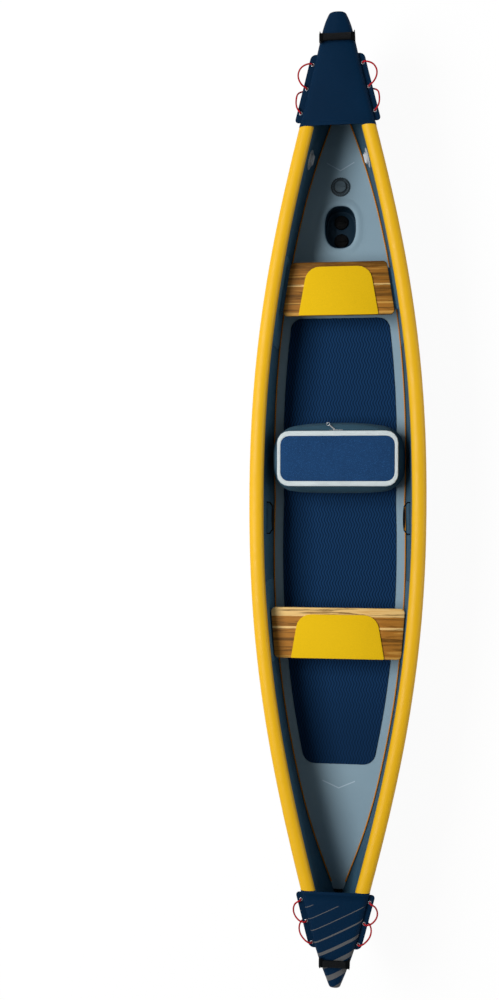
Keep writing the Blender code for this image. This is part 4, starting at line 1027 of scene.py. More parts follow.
@made_once
def printed_side(name):
    """The outer sides' print: slanted stripes that widen and warm towards the bow."""
    f = Finish(name, 0.46, 0.12)
    c = colours()
    along, below, _ = f.axes(f.surface())
    share = f.stretch(along, HALF_LENGTH, -HALF_LENGTH)
    shades = [(0.0, 0.75), (0.20, 1.0), (0.46, 1.0), (1.0, 0.8)]
    base = f.ramp(share, [(spot, toned(c.side, factor)) for spot, factor in shades])
    warm = f.ramp(share, [(0.18, c.olive), (0.45, c.olive), (0.66, c.flame), (1.0, c.flame)])
    slant = f.maths("MULTIPLY_ADD", below, 1.4, along)
    saw = f.maths("FRACT", f.maths("DIVIDE", slant, PRINT_PITCH))
    width = f.stretch(share, 0.16, 0.80, 0.02, 1.15)
    inside = f.maths("SUBTRACT", width, saw)
    stripe = f.stretch(inside, -0.02, 0.02)
    low = f.stretch(below, 0.30, 0.24)
    stripe = f.maths("MULTIPLY", stripe, low)
    bare_bow = f.stretch(f.maths("MULTIPLY_ADD", below, -0.35, along), -2.22, -2.20)
    stripe = f.maths("MULTIPLY", stripe, bare_bow)
    tone = f.mix(stripe, base, warm)
    at = f.place()
    cloud = f.noise(at, 2.2, 4.0)
    tone = f.mix(f.maths("MULTIPLY", cloud, 0.22), tone, toned(c.side, 0.5))
    tape = f.stretch(below, SHOULDER + 0.009, SHOULDER + 0.008)
    tone = f.mix(tape, tone, rgba(c.cap))
    return f.done(tone, f.woven(at, 9.0, 0.002))


def chamber_ring(u):
    """One station of a side chamber's closed section, with the drop below the gunwale."""
    foot = SEAM_HEIGHT + GAP
    top = sheer(u) - SHOULDER
    centre, radius = shoulder(u)
    rise = SHOULDER - TRIM - SKIN_GAP
    heights = [foot + (top - foot) * (k / 10) for k in range(11)]
    ring = [(outer_x(u, h) - TRIM - SKIN_GAP, h) for h in heights]
    ring += arc((centre, top), (radius, rise), 0, 180, 16)[1:-1]
    ring += [(inner_x(u, h), h) for h in reversed(heights)]
    return ring


class CANOE_OT_skin_hull(bpy.types.Operator):
    """Makes the side chambers, the bottom skin and the gunwale covers"""

    bl_idname = "canoe.skin_hull"
    bl_label = "Skin hull"

    def execute(self, context):
        c = colours()
        wall = coated_fabric("inner_wall", c.wall, 0.5, 0.08)
        for side_name, side in SIDES.items():
            self.side_chamber(side_name, side, wall)
            self.gunwale_cover(side_name, side)
        self.bottom_skin()
        return {"FINISHED"}

    def side_chamber(self, side_name, side, wall):
        name = side_name + "_side_chamber"
        rings, uvs = [], []
        for u in stations_between(-1, 1):
            u = short_of_tip(u, TRIM + SKIN_GAP)
            ring = chamber_ring(u)
            rings.append([place(u, side * x, h) for x, h in ring])
            uvs.append([(place(u, 0, h).y, sheer(u) - h) for _, h in ring])
        piece = ring_loft(name + "_skin", rings, 35, uvs, lambda k: 0 if k < 12 else 1)
        piece.data.materials.append(printed_side("printed_side"))
        piece.data.materials.append(wall)
        dress(piece, None, "hull", "wall_blue", name)

    def gunwale_cover(self, side_name, side):
        name = side_name + "_gunwale_trim"
        low, high = station_at(GAP - CAP_EDGE[-1]), station_at(CAP_EDGE[1] - GAP)
        rings = []
        for u in stations_between(low, high):
            top = sheer(u) - SHOULDER
            centre, radius = shoulder(u)
            ring = []
            for offset, way in ((0.0, 1), (TRIM, -1)):
                reach = (radius + TRIM + SKIN_GAP - offset, SHOULDER - offset)
                ring += arc((centre, top), reach, 0, 180, 22)[::way]
            rings.append([place(u, side * x, h) for x, h in ring])
        cover = ring_loft(name + "_cover", rings, 50)
        finish = coated_fabric("gunwale_yellow", colours().gunwale, 0.40, 0.22, 0.04, 0.00006)
        dress(cover, finish, "hull", "gunwale_yellow", name)

    def bottom_skin(self):
        outer, inner = [], []
        for u in stations_between(-1, 1):
            outer.append([place(u, *point) for point in self.bottom_row(u, 0)])
            inside = short_of_tip(u, SKIN)
            inner.append([place(inside, *point) for point in self.bottom_row(inside, SKIN)])
        piece = thick_sheet("hull_bottom_cover", outer, inner, True, True)
        finish = coated_fabric("bottom_blue", colours().bottom, 0.55, 0.12)
        dress(piece, finish, "hull", "bottom_blue", "hull_bottom_skin")

    def bottom_row(self, u, offset):
        """Half-widths, heights and the outer skin's heights, from port rim to starboard rim."""
        half = outer_x(u, SEAM_HEIGHT) - offset
        chine = min(CHINE_WIDTH, 0.8 * outer_x(u, SEAM_HEIGHT)) - offset
        port = [(half, SEAM_HEIGHT, SEAM_HEIGHT), (half, CHINE_HEIGHT, CHINE_HEIGHT)]
        for k in range(1, 13):
            angle = math.pi / 2 * k / 12
            across, down = math.cos(angle), math.sin(angle)
            height = CHINE_HEIGHT - (CHINE_HEIGHT - offset) * down
            port.append((half - chine + chine * across, height, CHINE_HEIGHT * (1 - down)))
        port.append(((half - chine) * 0.5, *port[-1][1:]))
        return port + [(-x, *heights) for x, *heights in reversed(port)]


# End caps


def cap_hang(end, u):
    """How far the cap hangs down the side, with the round lobe under the carry handle."""
    away = abs((1 - abs(u)) * HALF_LENGTH - LOBE_FROM_TIP[end]) / LOBE_RADIUS
    return CAP_HANG + LOBE_DROP * math.sqrt(max(0.0, 1 - away * away))


def cap_row(end, u, offset, nose=0.0):
    """Half-widths and heights from port edge to starboard edge, drawn in by a nose radius."""
    top = sheer(u) - SHOULDER
    centre, radius = shoulder(u)
    low = sheer(u) - cap_hang(end, u)
    offset = offset + nose
    reach = radius + TRIM + SKIN_GAP - offset
    heights = [low + (top - low) * k / 4 for k in range(5)]
    port = [(outer_x(u, h) - offset, h) for h in heights]
    port += arc((centre, top), (reach, SHOULDER - offset), 0, 82, 8)[1:]
    for share in (0.75, 0.5, 0.25):
        crown = CAP_CROWN * (1 - share * share)
        port.append((centre * share, sheer(u) - offset + crown))
    return port + [(-x, h) for x, h in reversed(port)]


def flap_height(u):
    return sheer(u) - FLAP_BELOW_TOP


class CANOE_OT_fit_end_caps(bpy.types.Operator):
    """Makes the end caps with their cord flaps, eyelet rings and stem guards"""

    bl_idname = "canoe.fit_end_caps"
    bl_label = "Fit end caps"

    def execute(self, context):
        for name, end in ENDS.items():
            self.cap(name, end)
            self.guard(name, end)
            for side_name, side in SIDES.items():
                self.flap(name, end, side_name, side)
        return {"FINISHED"}

    def cap(self, name, end):
        middle = HALF_LENGTH - LOBE_FROM_TIP[end]
        lobe = [middle + LOBE_RADIUS * math.cos(math.radians(a)) for a in range(0, 181, 12)]
        edge = CAP_EDGE[end]
        hem = sizes().hem
        extra = [*lobe, edge + hem, edge + hem + 0.001, edge + 0.004, HALF_LENGTH - CAP_NOSE]
        edge_u = end * station_at(edge)
        spread = stations_between(
            min(edge_u, end), max(edge_u, end), [end * station_at(y) for y in extra]
        )
        stations = sorted(spread, key=abs)
        last = 1 - CAP_NOSE / HALF_LENGTH
        rows = [(u, 0.0) for u in stations if abs(u) <= last + 0.00001]
        for k in range(1, 6):
            a = math.pi / 2 * k / 5
            u = end * (1 - CAP_NOSE * (1 - math.sin(a)) / HALF_LENGTH)
            rows.append((u, CAP_NOSE * (1 - math.cos(a))))
        outer, inner, uvs = [], [], []
        for u, nose in rows:
            y = abs(u) * HALF_LENGTH
            raised = -0.0012 if y < edge + hem + 0.0005 else 0.0
            inside = short_of_tip(u, TRIM)
            outer.append([place(u, x, h) for x, h in cap_row(end, u, raised, nose)])
            inner.append([place(inside, x, h) for x, h in cap_row(end, inside, TRIM, nose)])
            uvs.append([(x, y) for x, _ in cap_row(end, u, 0, nose)])
        cap = thick_sheet(name + "_cap_cover", outer, inner, False, True, uvs)
        dress(cap, self.cap_finish(name, end), "hull", "cap_navy", name + "_end_cap")

    def cap_finish(self, name, end):
        """Navy fabric. The bow cap has plain slanted stripes that widen towards the tip."""
        f = Finish(name + "_cap", 0.5, 0.04)
        colour = colours().cap
        at = f.place()
        x, y, _ = f.axes(at)
        tone = f.mottled(at, colour, 0.9, 1.2, 7.0, 4.0)
        if end < 0:
            slant = f.maths("MULTIPLY_ADD", x, -0.5, y)
            share = f.stretch(slant, -1.98, -2.39)
            saw = f.maths("FRACT", f.maths("DIVIDE", slant, CAP_STRIPE_PITCH))
            wide = f.maths("SUBTRACT", saw, f.stretch(share, 0.0, 1.0, 0.93, 0.55))
            stripe = f.stretch(wide, 0.0, 0.02)
            on_deck = f.stretch(y, -1.975, -1.980)
            stripe = f.maths("MULTIPLY", stripe, on_deck)
            tone = f.mix(f.maths("MULTIPLY", stripe, 0.85), tone, rgba(colours().cap_stripe))
        return f.done(tone, f.woven(at, 14.0, 0.002))

    def flap(self, name, end, side_name, side):
        low, high = FLAP_SPAN[end]
        piece_name = f"{name}_{side_name}_cord_flap"
        corner = corner_steps(FLAP_CORNER)
        extra = [low + c for c in corner] + [high - c for c in corner]
        bounds = sorted(end * station_at(y) for y in (low, high))
        rings = []
        half = FLAP_THICKNESS / 2
        for u in stations_between(*bounds, [end * station_at(y) for y in extra]):
            y = abs(u) * HALF_LENGTH
            drop = corner_drop(y, low, high, FLAP_CORNER)
            height = flap_height(u)
            edge = outer_x(u, height - half) + SKIN_GAP
            rim = edge + FLAP_WIDTH - drop - half
            ring = [(edge - 0.0008, height + half), ((edge + rim) / 2, height + half)]
            ring += arc((rim, height), (half, half), 90, -90, 6)
            ring += [((edge + rim) / 2, height - half), (edge - 0.0008, height - half)]
            rings.append([place(u, side * x, h) for x, h in ring])
        flap = ring_loft(piece_name + "_tab", rings, 50)
        finish = coated_fabric("cap_navy", colours().cap, 0.5, 0.04)
        dress(flap, finish, "hull", "cap_navy", piece_name)
        ring_finish = bare_metal("eyelet_metal", colours().eyelet)
        for i, y in enumerate(EYELET_AT[end]):
            u = end * station_at(y)
            height = flap_height(u)
            at = place(u, side * (outer_x(u, height) + SKIN_GAP + EYELET_INSET), height)
            for level, place_name in ((half, "top"), (-half, "under")):
                ring_name = f"{piece_name}_eyelet_{i + 1}_{place_name}"
                centre = at + Vector((0, 0, level))
                ring = torus_piece(ring_name, centre, sizes().eyelet + 0.0018, EYELET_WIRE, 0.5)
                dress(ring, ring_finish, "hull", "zip_metal")

    def guard(self, name, end):
        """The rubber strip down a stem, slightly domed."""
        heights = [GUARD_TOP[end] * (k / 40) ** 1.5 for k in range(41)]
        path = [place(end, 0, 0) - Vector((0, end * GUARD_ALONG_KEEL, 0))]
        path += [place(end, 0, h) for h in heights]
        rings = []
        for i, point in enumerate(path):
            along = way_along(path, i)
            out = Vector((0, end * along.z, -end * along.y)).normalized()
            ring = []
            for share, lift in GUARD_SECTION:
                at = point + out * (GAP + GUARD_THICKNESS * lift)
                ring.append(Vector((share * GUARD_HALF, at.y, at.z)))
            rings.append(ring)
        guard = ring_loft(name + "_stem_strip", rings, 50)
        rubber = moulded("rubber", colours().black, 0.6, 0.1, 0.0003)
        dress(guard, rubber, "hull", "trim_black", name + "_stem_guard")


# Floor


def oval_point(radii, angle):
    """A point on a squarish oval, and the direction away from it."""
    across, along = math.cos(angle), math.sin(angle)
    power = OVAL_POWER if radii[0] != radii[1] else 2.0
    reach = (abs(across) ** power + abs(along) ** power) ** (-1 / power)
    rim = Vector((radii[0] * across * reach, radii[1] * along * reach, 0))
    normal = Vector((across / radii[0], along / radii[1], 0)).normalized()
    return rim, normal


def grid_faces(faces, a, b):
    """Quads between two rows of point numbers of the same length."""
    for k in range(len(a) - 1):
        faces.append((a[k], a[k + 1], b[k + 1], b[k]))


class CANOE_OT_lay_floor(bpy.types.Operator):
    """Makes the floor with its drain and valve openings, the piping and the foam mat"""

    bl_idname = "canoe.lay_floor"
    bl_label = "Lay floor"

    def execute(self, context):
        self.floor()
        self.piping()
        self.mat()
        return {"FINISHED"}

    def floor(self):
        """The floor's top with two rounded openings, its side walls and its underside."""
        under = KEEL_Z + SKIN + SKIN_GAP
        verts, faces = [], []
        across = 32

        def row(y):
            u = station_at(y)
            half = floor_half(u)
            shares = [1 - 2 * k / across for k in range(across + 1)]
            points = [place(u, half * s, FLOOR_HEIGHT, SEAM_HEIGHT) for s in shares]
            verts.extend(points)
            return list(range(len(verts) - len(points), len(verts)))

        ends = [-FLOOR_END[-1] * HALF_LENGTH, FLOOR_END[1] * HALF_LENGTH]
        bounds = [ends[0], DRAIN_AT - 0.17, DRAIN_AT + 0.135, FLOOR_VALVE_AT + 0.10, ends[1]]
        previous = None
        for i, (low, high) in enumerate(zip(bounds, bounds[1:])):
            start = previous or row(low)
            if i in (1, 2):
                stop = row(high)
                centre = DRAIN_AT if i == 1 else FLOOR_VALVE_AT
                radii = DRAIN_HALF if i == 1 else (VALVE_HOLE, VALVE_HOLE)
                lip = DRAIN_LIP if i == 1 else VALVE_LIP
                self.opening(verts, faces, start, stop, centre, radii, lip)
            else:
                last = start
                for u in stations_between(station_at(low), station_at(high))[1:]:
                    here = row(u * HALF_LENGTH)
                    grid_faces(faces, last, here)
                    last = here
                stop = last
            previous = stop
        count = len(verts)
        edges = {}
        for face in faces:
            for a, b in zip(face, face[1:] + face[:1]):
                edges[frozenset((a, b))] = edges.get(frozenset((a, b)), 0) + 1
        lower = [Vector((v[0], v[1], under)) for v in verts]
        verts += lower
        below = [tuple(k + count for k in reversed(face)) for face in faces]
        for pair, uses in edges.items():
            if uses == 1:
                a, b = pair
                faces.append((a, b, b + count, a + count))
        piece = mesh_piece("floor_cover", verts, faces + below)
        pick(piece)
        bpy.ops.object.mode_set(mode="EDIT")
        bpy.ops.mesh.select_all(action="SELECT")
        bpy.ops.mesh.remove_doubles(threshold=0.00001)
        bpy.ops.mesh.normals_make_consistent(inside=False)
        bpy.ops.object.mode_set(mode="OBJECT")
        smooth(piece, 50)
        dress(piece, self.floor_finish(), "hull", "floor_grey", "floor_chamber")

    def opening(self, verts, faces, start, stop, centre, radii, lip):
        """Rings of faces from a stretch of floor down into a rounded opening in it."""
        sides = 14
        right = [self.edge_point(verts, start[0], stop[0], k / sides) for k in range(1, sides)]
        left = [self.edge_point(verts, start[-1], stop[-1], k / sides) for k in range(1, sides)]
        loop = start[::-1] + right + stop + left[::-1]
        middle = Vector((0, centre, KEEL_Z + FLOOR_HEIGHT))
        outer = [verts[k].copy() for k in loop]
        spokes = []
        for point in outer:
            away = point - middle
            angle = math.atan2(away.y * radii[0], away.x * radii[1])
            spokes.append(oval_point(radii, angle))
        loops = [loop]
        for share in (0.3, 0.55, 0.78):
            ids = []
            for point, (rim, normal) in zip(outer, spokes):
                near = middle + rim + normal * lip[0][0]
                verts.append(point.lerp(near, share))
                ids.append(len(verts) - 1)
            loops.append(ids)
        for out, rise in lip:
            ids = []
            for rim, normal in spokes:
                verts.append(middle + rim + normal * out + Vector((0, 0, rise)))
                ids.append(len(verts) - 1)
            loops.append(ids)
        for a, b in zip(loops, loops[1:]):
            grid_faces(faces, a + a[:1], b + b[:1])

    def edge_point(self, verts, low, high, share):
        """A point along the floor's edge between two rows."""
        y = verts[low].y + (verts[high].y - verts[low].y) * share
        u = station_at(y)
        side = 1 if verts[low].x > 0 else -1
        verts.append(Vector((side * floor_half(u), y, KEEL_Z + FLOOR_HEIGHT)))
        return len(verts) - 1

    def floor_finish(self):
        """Grey floor fabric with a pale chevron near each end."""
        f = Finish("floor_grey", 0.55, 0.08)
        colour = colours().floor
        at = f.place()
        x, y, _ = f.axes(at)
        tone = f.mottled(at, colour, 0.88, 1.10, 2.6, 4.0)
        fold = f.maths("ABSOLUTE", x)
        for tip, reach, half in CHEVRONS:
            line = f.maths("MULTIPLY_ADD", fold, -reach / half, f.maths("SUBTRACT", y, tip))
            on_line = f.stretch(f.maths("ABSOLUTE", line), 0.0036, 0.0024)
            mark = f.maths("MULTIPLY", on_line, f.stretch(fold, half + 0.001, half))
            tone = f.mix(f.maths("MULTIPLY", mark, 0.7), tone, rgba(colours().chevron))
        return f.done(tone, f.woven(at, 8.0, 0.002, 0.00014))

    def piping(self):
        finish = self.piping_finish()
        for side_name, side in SIDES.items():
            points = []
            for u in stations_between(-PIPING_END[-1], PIPING_END[1]):
                x = floor_half(u) - PIPING_RADIUS - PIPING_MARGIN
                height = FLOOR_HEIGHT + PIPING_RADIUS + GAP
                points.append(place(u, side * x, height, SEAM_HEIGHT))
            name = side_name + "_floor_piping"
            bead = tube(name + "_bead", points, PIPING_RADIUS, 12)
            dress(bead, finish, "hull", "piping_orange", name)

    def piping_finish(self):
        """A corded bead: slanted strands along its length."""
        f = Finish("piping_orange", 0.5, 0.12)
        colour = colours().piping
        along, around, _ = f.axes(f.surface())
        slant = f.maths("ADD", along, around)
        strand = f.maths("SINE", f.maths("MULTIPLY", slant, math.tau / 0.009))
        tone = f.mix(f.stretch(strand, -0.9, 0.2), toned(colour, 0.50), toned(colour, 1.1))
        return f.done(tone, f.bump(strand, 0.0006))

    def mat(self):
        """The foam mat, with wavy grooves along its length cut into its face."""
        s = sizes()
        low, high = MAT_SPAN
        rows, columns = 290, 240
        corner = corner_steps(MAT_CORNER, MAT_CORNER_STEPS)
        straight = rows - 2 * MAT_CORNER_STEPS
        inner = (high - low - 2 * MAT_CORNER) / straight
        ys = [low + c for c in corner]
        ys += [low + MAT_CORNER + inner * k for k in range(1, straight)]
        ys += [high - c for c in reversed(corner)]
        foot = KEEL_Z + FLOOR_HEIGHT + GAP
        verts = []
        for y in ys:
            drop = corner_drop(y, low, high, MAT_CORNER)
            half = floor_half(station_at(y)) - MAT_MARGIN - drop
            for k in range(columns + 1):
                x = half * (1 - 2 * k / columns)
                sway = s.groove_sway * math.sin(math.tau * y / s.groove_wave)
                wave = math.cos(math.tau * (x + sway) / s.groove_pitch)
                edge = min(half - abs(x), y - low, high - y)
                depth = s.groove_depth * clamp((wave - 0.1) / 0.9) * clamp(edge / 0.008)
                round_edge = 0.0015 * clamp(1 - edge / 0.003) ** 2
                verts.append((x, y, foot + MAT_THICKNESS - depth - round_edge))
        wide = columns + 1
        total = len(ys)
        faces = quads(total, wide)
        rim = list(range(wide))
        rim += [i * wide + columns for i in range(1, total)]
        rim += [(total - 1) * wide + k for k in range(columns - 1, -1, -1)]
        rim += [i * wide for i in range(total - 2, 0, -1)]
        base = len(verts)
        verts += [(verts[k][0], verts[k][1], foot) for k in rim]
        count = len(rim)
        for k in range(count):
            n = (k + 1) % count
            faces.append((rim[k], rim[n], base + n, base + k))
        faces.append(tuple(range(base, base + count)))
        mat = smooth(mesh_piece("foam_mat", verts, faces), 60)
        dress(mat, self.mat_finish(), "hull", "deck_pad_navy", "deck_pad")

    def mat_finish(self):
        """Brushed foam, with painted shade in its grooves and towards the bow."""
        f = Finish("mat_foam", 0.85, 0.04)
        s, colour = sizes(), colours().mat
        at = f.place()
        x, y, _ = f.axes(at)
        turn = f.maths("SINE", f.maths("MULTIPLY", y, math.tau / s.groove_wave))
        shifted = f.maths("MULTIPLY_ADD", turn, s.groove_sway, x)
        wave = f.maths("COSINE", f.maths("MULTIPLY", shifted, math.tau / s.groove_pitch))
        fleck = f.noise(at, 420.0, 3.0, 0.7)
        tone = f.mix(fleck, toned(colour, 0.8), toned(colour, 1.35))
        # Painted shade: the colour darkens in the grooves, where they are cut deepest.
        tone = f.mix(f.stretch(wave, -0.2, 0.8), tone, toned(colour, 0.42))
        # Painted shade, not wear: the mat darkens towards the bow, where less light falls.
        worn = f.maths("MULTIPLY", f.stretch(y, -0.75, -1.3), 0.55)
        tone = f.mix(worn, tone, toned(colour, 0.5))
        return f.done(tone, f.bump(fleck, 0.0003))


# Benches


class CANOE_OT_fit_benches(bpy.types.Operator):
    """Makes the benches, their pads and the patches that carry them"""

    bl_idname = "canoe.fit_benches"
    bl_label = "Fit benches"

    def execute(self, context):
        for name in ENDS:
            node, body, wood = name + "_seat_board", name + "_seat", self.wood(name)
            dressed_copy(node, name + "_bench", sizes().board_edge, 3, wood, body, "seat_wood")
            node, foam = name + "_seat_pad", closed_foam("pad_foam", colours().pad)
            pad = dressed_copy(node, name + "_bench_pad", PAD_EDGE, 3, foam, body, "seat_pad_yellow")
            for side_name, side in SIDES.items():
                self.support(name, side_name, side)
        return {"FINISHED"}

    def wood(self, name):
        """Oiled planks laid across the canoe, with pale strips between darker ones."""
        f = Finish(name + "_bench_wood", 0.42, 0.08)
        colour = colours().wood
        low, high = SEAT_BOARD[name]
        at = f.place()
        x, y, z = f.axes(at)
        share = f.maths("DIVIDE", f.maths("SUBTRACT", high, y), high - low)
        pale, light = [0.76, 0.50, 0.19], [0.56, 0.29, 0.060]
        depths = WOOD_DEPTH[name]
        dark, umber = [v * depths[0] for v in colour], [v * depths[1] for v in colour]
        if name == "stern":
            bands = [
                (0.0, dark), (0.115, umber), (0.26, light), (0.275, umber), (0.415, pale),
                (0.45, umber), (0.60, dark), (0.66, umber), (0.755, light), (0.79, colour),
                (0.93, light),
            ]
        else:
            bands = [
                (0.0, pale), (0.17, umber), (0.30, colour), (0.375, pale), (0.415, umber),
                (0.60, dark), (0.66, umber), (0.80, colour), (0.95, light),
            ]
        plank = f.ramp(share, bands, "CONSTANT")
        long_grain = f.joined(f.maths("MULTIPLY", x, 1.2), f.maths("MULTIPLY", y, 26.0), z)
        rings = f.noise(long_grain, 2.4, 5.0, 0.62, 0.8)
        fibre = f.joined(f.maths("MULTIPLY", x, 6.0), f.maths("MULTIPLY", y, 260.0), z)
        fine = f.noise(fibre, 3.0, 3.0, 0.6)
        streak = f.maths("MULTIPLY", f.stretch(rings, 0.50, 0.60), 0.82)
        tone = f.mix(streak, plank, toned(dark, 0.6))
        vein = f.maths("MULTIPLY", f.stretch(rings, 0.40, 0.34), 0.55)
        tone = f.mix(vein, tone, toned(light, 1.1))
        tone = f.mix(f.maths("MULTIPLY", f.stretch(fine, 0.5, 0.7), 0.22), tone, toned(light, 1.1))
        normal = f.bump(fine, 0.0002, f.bump(rings, 0.0003))
        return f.done(tone, normal)

    def support(self, name, side_name, side):
        """A patch on the inner wall with rounded corners, and the ledge under the bench."""
        low, high = SEAT_PATCH[name]
        corner = corner_steps(PATCH_CORNER)
        extra = [station_at(low + c) for c in corner] + [station_at(high - c) for c in corner]
        rings = []
        for u in stations_between(station_at(low), station_at(high), extra):
            y = u * HALF_LENGTH
            drop = corner_drop(y, low, high, PATCH_CORNER)
            foot = PATCH_FROM + drop
            top = sheer(u) - SHOULDER - PATCH_BELOW_TOP - drop
            heights = [foot + (top - foot) * k / 8 for k in range(9)]
            offsets = [0.0015] + [PATCH_THICKNESS] * 7 + [0.0015]
            ring = [(inner_x(u, h) - SKIN_GAP - o, h) for h, o in zip(heights, offsets)]
            ring += [(inner_x(u, h) + 0.0005, h) for h in reversed(heights)]
            rings.append([place(u, side * x, h) for x, h in ring])
        node = f"{name}_{side_name}_seat_support"
        patch = ring_loft(node + "_patch", rings, 40)
        finish = coated_fabric("patch_blue", [v * 1.25 for v in colours().wall], 0.42, 0.15)
        dress(patch, finish, "hull", "wall_blue", node)
        ledge_top = SEAT_TOP - BOARD_THICKNESS - GAP
        low, high = SEAT_BOARD[name]
        ends = station_at(low + LEDGE_INSET), station_at(high - LEDGE_INSET)
        rings = []
        for u in stations_between(*ends):
            wall = inner_x(u, ledge_top) - SKIN_GAP
            half = LEDGE_HEIGHT / 2
            edge = arc((wall - LEDGE_REACH + half, ledge_top - half), (half, half), 90, 270, 8)
            ring = [(wall, ledge_top), *edge, (wall, ledge_top - LEDGE_HEIGHT)]
            rings.append([place(u, side * x, h) for x, h in ring])
        ledge = ring_loft(node + "_ledge", rings, 40)
        dress(ledge, finish, "hull", "wall_blue", node)


# Bag


class CANOE_OT_stuff_bag(bpy.types.Operator):
    """Makes the stuffed bag that serves as the middle seat, with its binding and zip"""

    bl_idname = "canoe.stuff_bag"
    bl_label = "Stuff bag"

    def execute(self, context):
        c = colours()
        body = rounded_copy("bag_seat_body", "bag_shell", 0.0)
        evened(body, BAG_FACE)
        puffed(body, BAG_PRESSURE, BAG_PUFF)
        self.draw_corners_in(body)
        dress(body, woven_cloth("bag_cloth", c.bag_body), "bag", "bag_body_blue", "bag_seat_body")
        top = flecked_cloth("bag_top_cloth", c.bag_top)
        band = woven_cloth("binding_cloth", c.binding)
        metal = bare_metal("zip_metal", c.zip_metal)
        lid = dressed_copy("bag_seat_lid", "bag_top_panel", 0.002, 3, top, "bag_top", "bag_panel_blue")
        for node, name, width, finish, carrier, slot in (
            ("bag_seat_binding", "bag_binding_band", 0.003, band, "bag_top", "binding_grey"),
            ("bag_zip_slider", "bag_zip_puller", 0.0, metal, "zip_slider", "zip_metal"),
        ):
            dressed_copy(node, name, width, 3, finish, carrier, slot)
        self.puller(metal)
        self.zip_band()
        return {"FINISHED"}

    def draw_corners_in(self, body):
        """Draws the corners in below the rim, so that the long sides bulge in the middle."""
        low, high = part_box("bag_seat_body")
        middle, half = (low + high) / 2, (high - low) / 2
        for vertex in body.data.vertices:
            at = vertex.co
            along = abs(at.x - middle.x) / half.x
            aside = abs(at.y - middle.y) / half.y
            depth = clamp((high.z - at.z) / BAG_SHAPE_DEPTH)
            depth *= depth * (3 - 2 * depth)
            narrow = 1 - BAG_DRAWN_IN[0] * depth * min(1.0, aside) ** 3
            slim = 1 - BAG_DRAWN_IN[1] * depth * min(1.0, along) ** 3
            midway = depth * (1 - min(1.0, along) ** 2)
            at.x = middle.x + (at.x - middle.x) * narrow
            at.y = middle.y + (at.y - middle.y) * (slim + BAG_SWELL * midway) + BAG_LEAN * midway
        body.data.update()

    def puller(self, metal):
        """The puller's tab and ring, which lie over the bag's bulge."""
        low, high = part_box("bag_zip_slider")
        hinge = Vector((low.x + 0.028, high.y + 0.0015, low.z + 0.006))
        tip = hinge + Vector(PULLER_REACH)
        along = (tip - hinge).normalized()
        side = along.cross(Vector((0, 0, 1))).normalized()
        face = side.cross(along)
        rings = []
        for share, half in TAB_OUTLINE:
            at = hinge.lerp(tip, share)
            rings.append([at + side * half * a + face * TAB_THICKNESS * b for a, b in squarish(12)])
        tab = ring_loft("bag_zip_tab", rings, 50)
        dress(tab, metal, "zip_slider", "zip_metal")
        centre = tip + along * 0.0075
        ring = torus_piece("bag_zip_ring", centre, *PULLER_RING, 1.0, 28, face)
        dress(ring, metal, "zip_slider", "zip_metal")

    def zip_band(self):
        """The zip's band round the top of the bag, with its row of teeth in the middle."""
        low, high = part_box("bag_seat_lid")
        centre = Vector(((low.x + high.x) / 2, BAG_CENTRE_Y, 0))
        top, height = low.z - 0.006, sizes().zip_height
        sections = []
        for k in range(ZIP_STEPS):
            rim, out = rounded_box_point(BAG_HALF, BAG_CORNER, k / ZIP_STEPS)
            foot = centre + rim + Vector((0, 0, top))
            section = []
            for reach, down in ZIP_SECTION:
                section.append(foot + out * (0.0012 + reach) - Vector((0, 0, down * height)))
            sections.append(section)
        band = closed_sweep("bag_zip_band", sections)
        dress(band, self.zip_finish(top - height / 2), "bag", "bag_body_blue")

    def zip_finish(self, middle):
        """Dark tape with teeth along its middle."""
        f = Finish("zip_tape", 0.6, 0.1)
        at = f.place()
        x, y, z = f.axes(at)
        turn = f.maths("MULTIPLY", f.maths("ADD", x, y), math.tau / 0.0042)
        teeth = f.maths("SINE", turn)
        away = f.maths("ABSOLUTE", f.maths("SUBTRACT", z, middle))
        on_teeth = f.stretch(away, 0.0026, 0.0022)
        colour = colours().bag_body
        tape = f.mottled(at, colour, 0.5, 0.8, 60.0)
        tone = f.mix(on_teeth, tape, toned(colours().black, 3.0))
        return f.done(tone, f.bump(f.maths("MULTIPLY", teeth, on_teeth), 0.0010))


def rounded_box_point(half, corner, share):
    """The point at a share of the way round a rounded rectangle, and the way out there."""
    straight = (2 * (half[0] - corner), 2 * (half[1] - corner))
    bend = math.pi / 2 * corner
    total = 2 * sum(straight) + 4 * bend
    travelled = share * total
    for quarter in range(4):
        side = straight[quarter % 2]
        turn = Matrix.Rotation(math.pi / 2 * quarter, 3, "Z")
        size = half if quarter % 2 == 0 else half[::-1]
        if travelled <= side:
            at = Vector((travelled - side / 2, -size[1], 0))
            return turn @ at, turn @ Vector((0, -1, 0))
        travelled -= side
        if travelled <= bend or quarter == 3:
            a = travelled / corner
            out = Vector((math.sin(a), -math.cos(a), 0))
            at = Vector((size[0] - corner, corner - size[1], 0)) + out * corner
            return turn @ at, turn @ out
        travelled -= bend


def evened(piece, voxel):
    """Remakes a shell with faces of one small size."""
    remesh = piece.modifiers.new("even", "REMESH")
    remesh.mode = "VOXEL"
    remesh.voxel_size = voxel
    apply_modifiers(piece)
    return smooth(piece, 60)


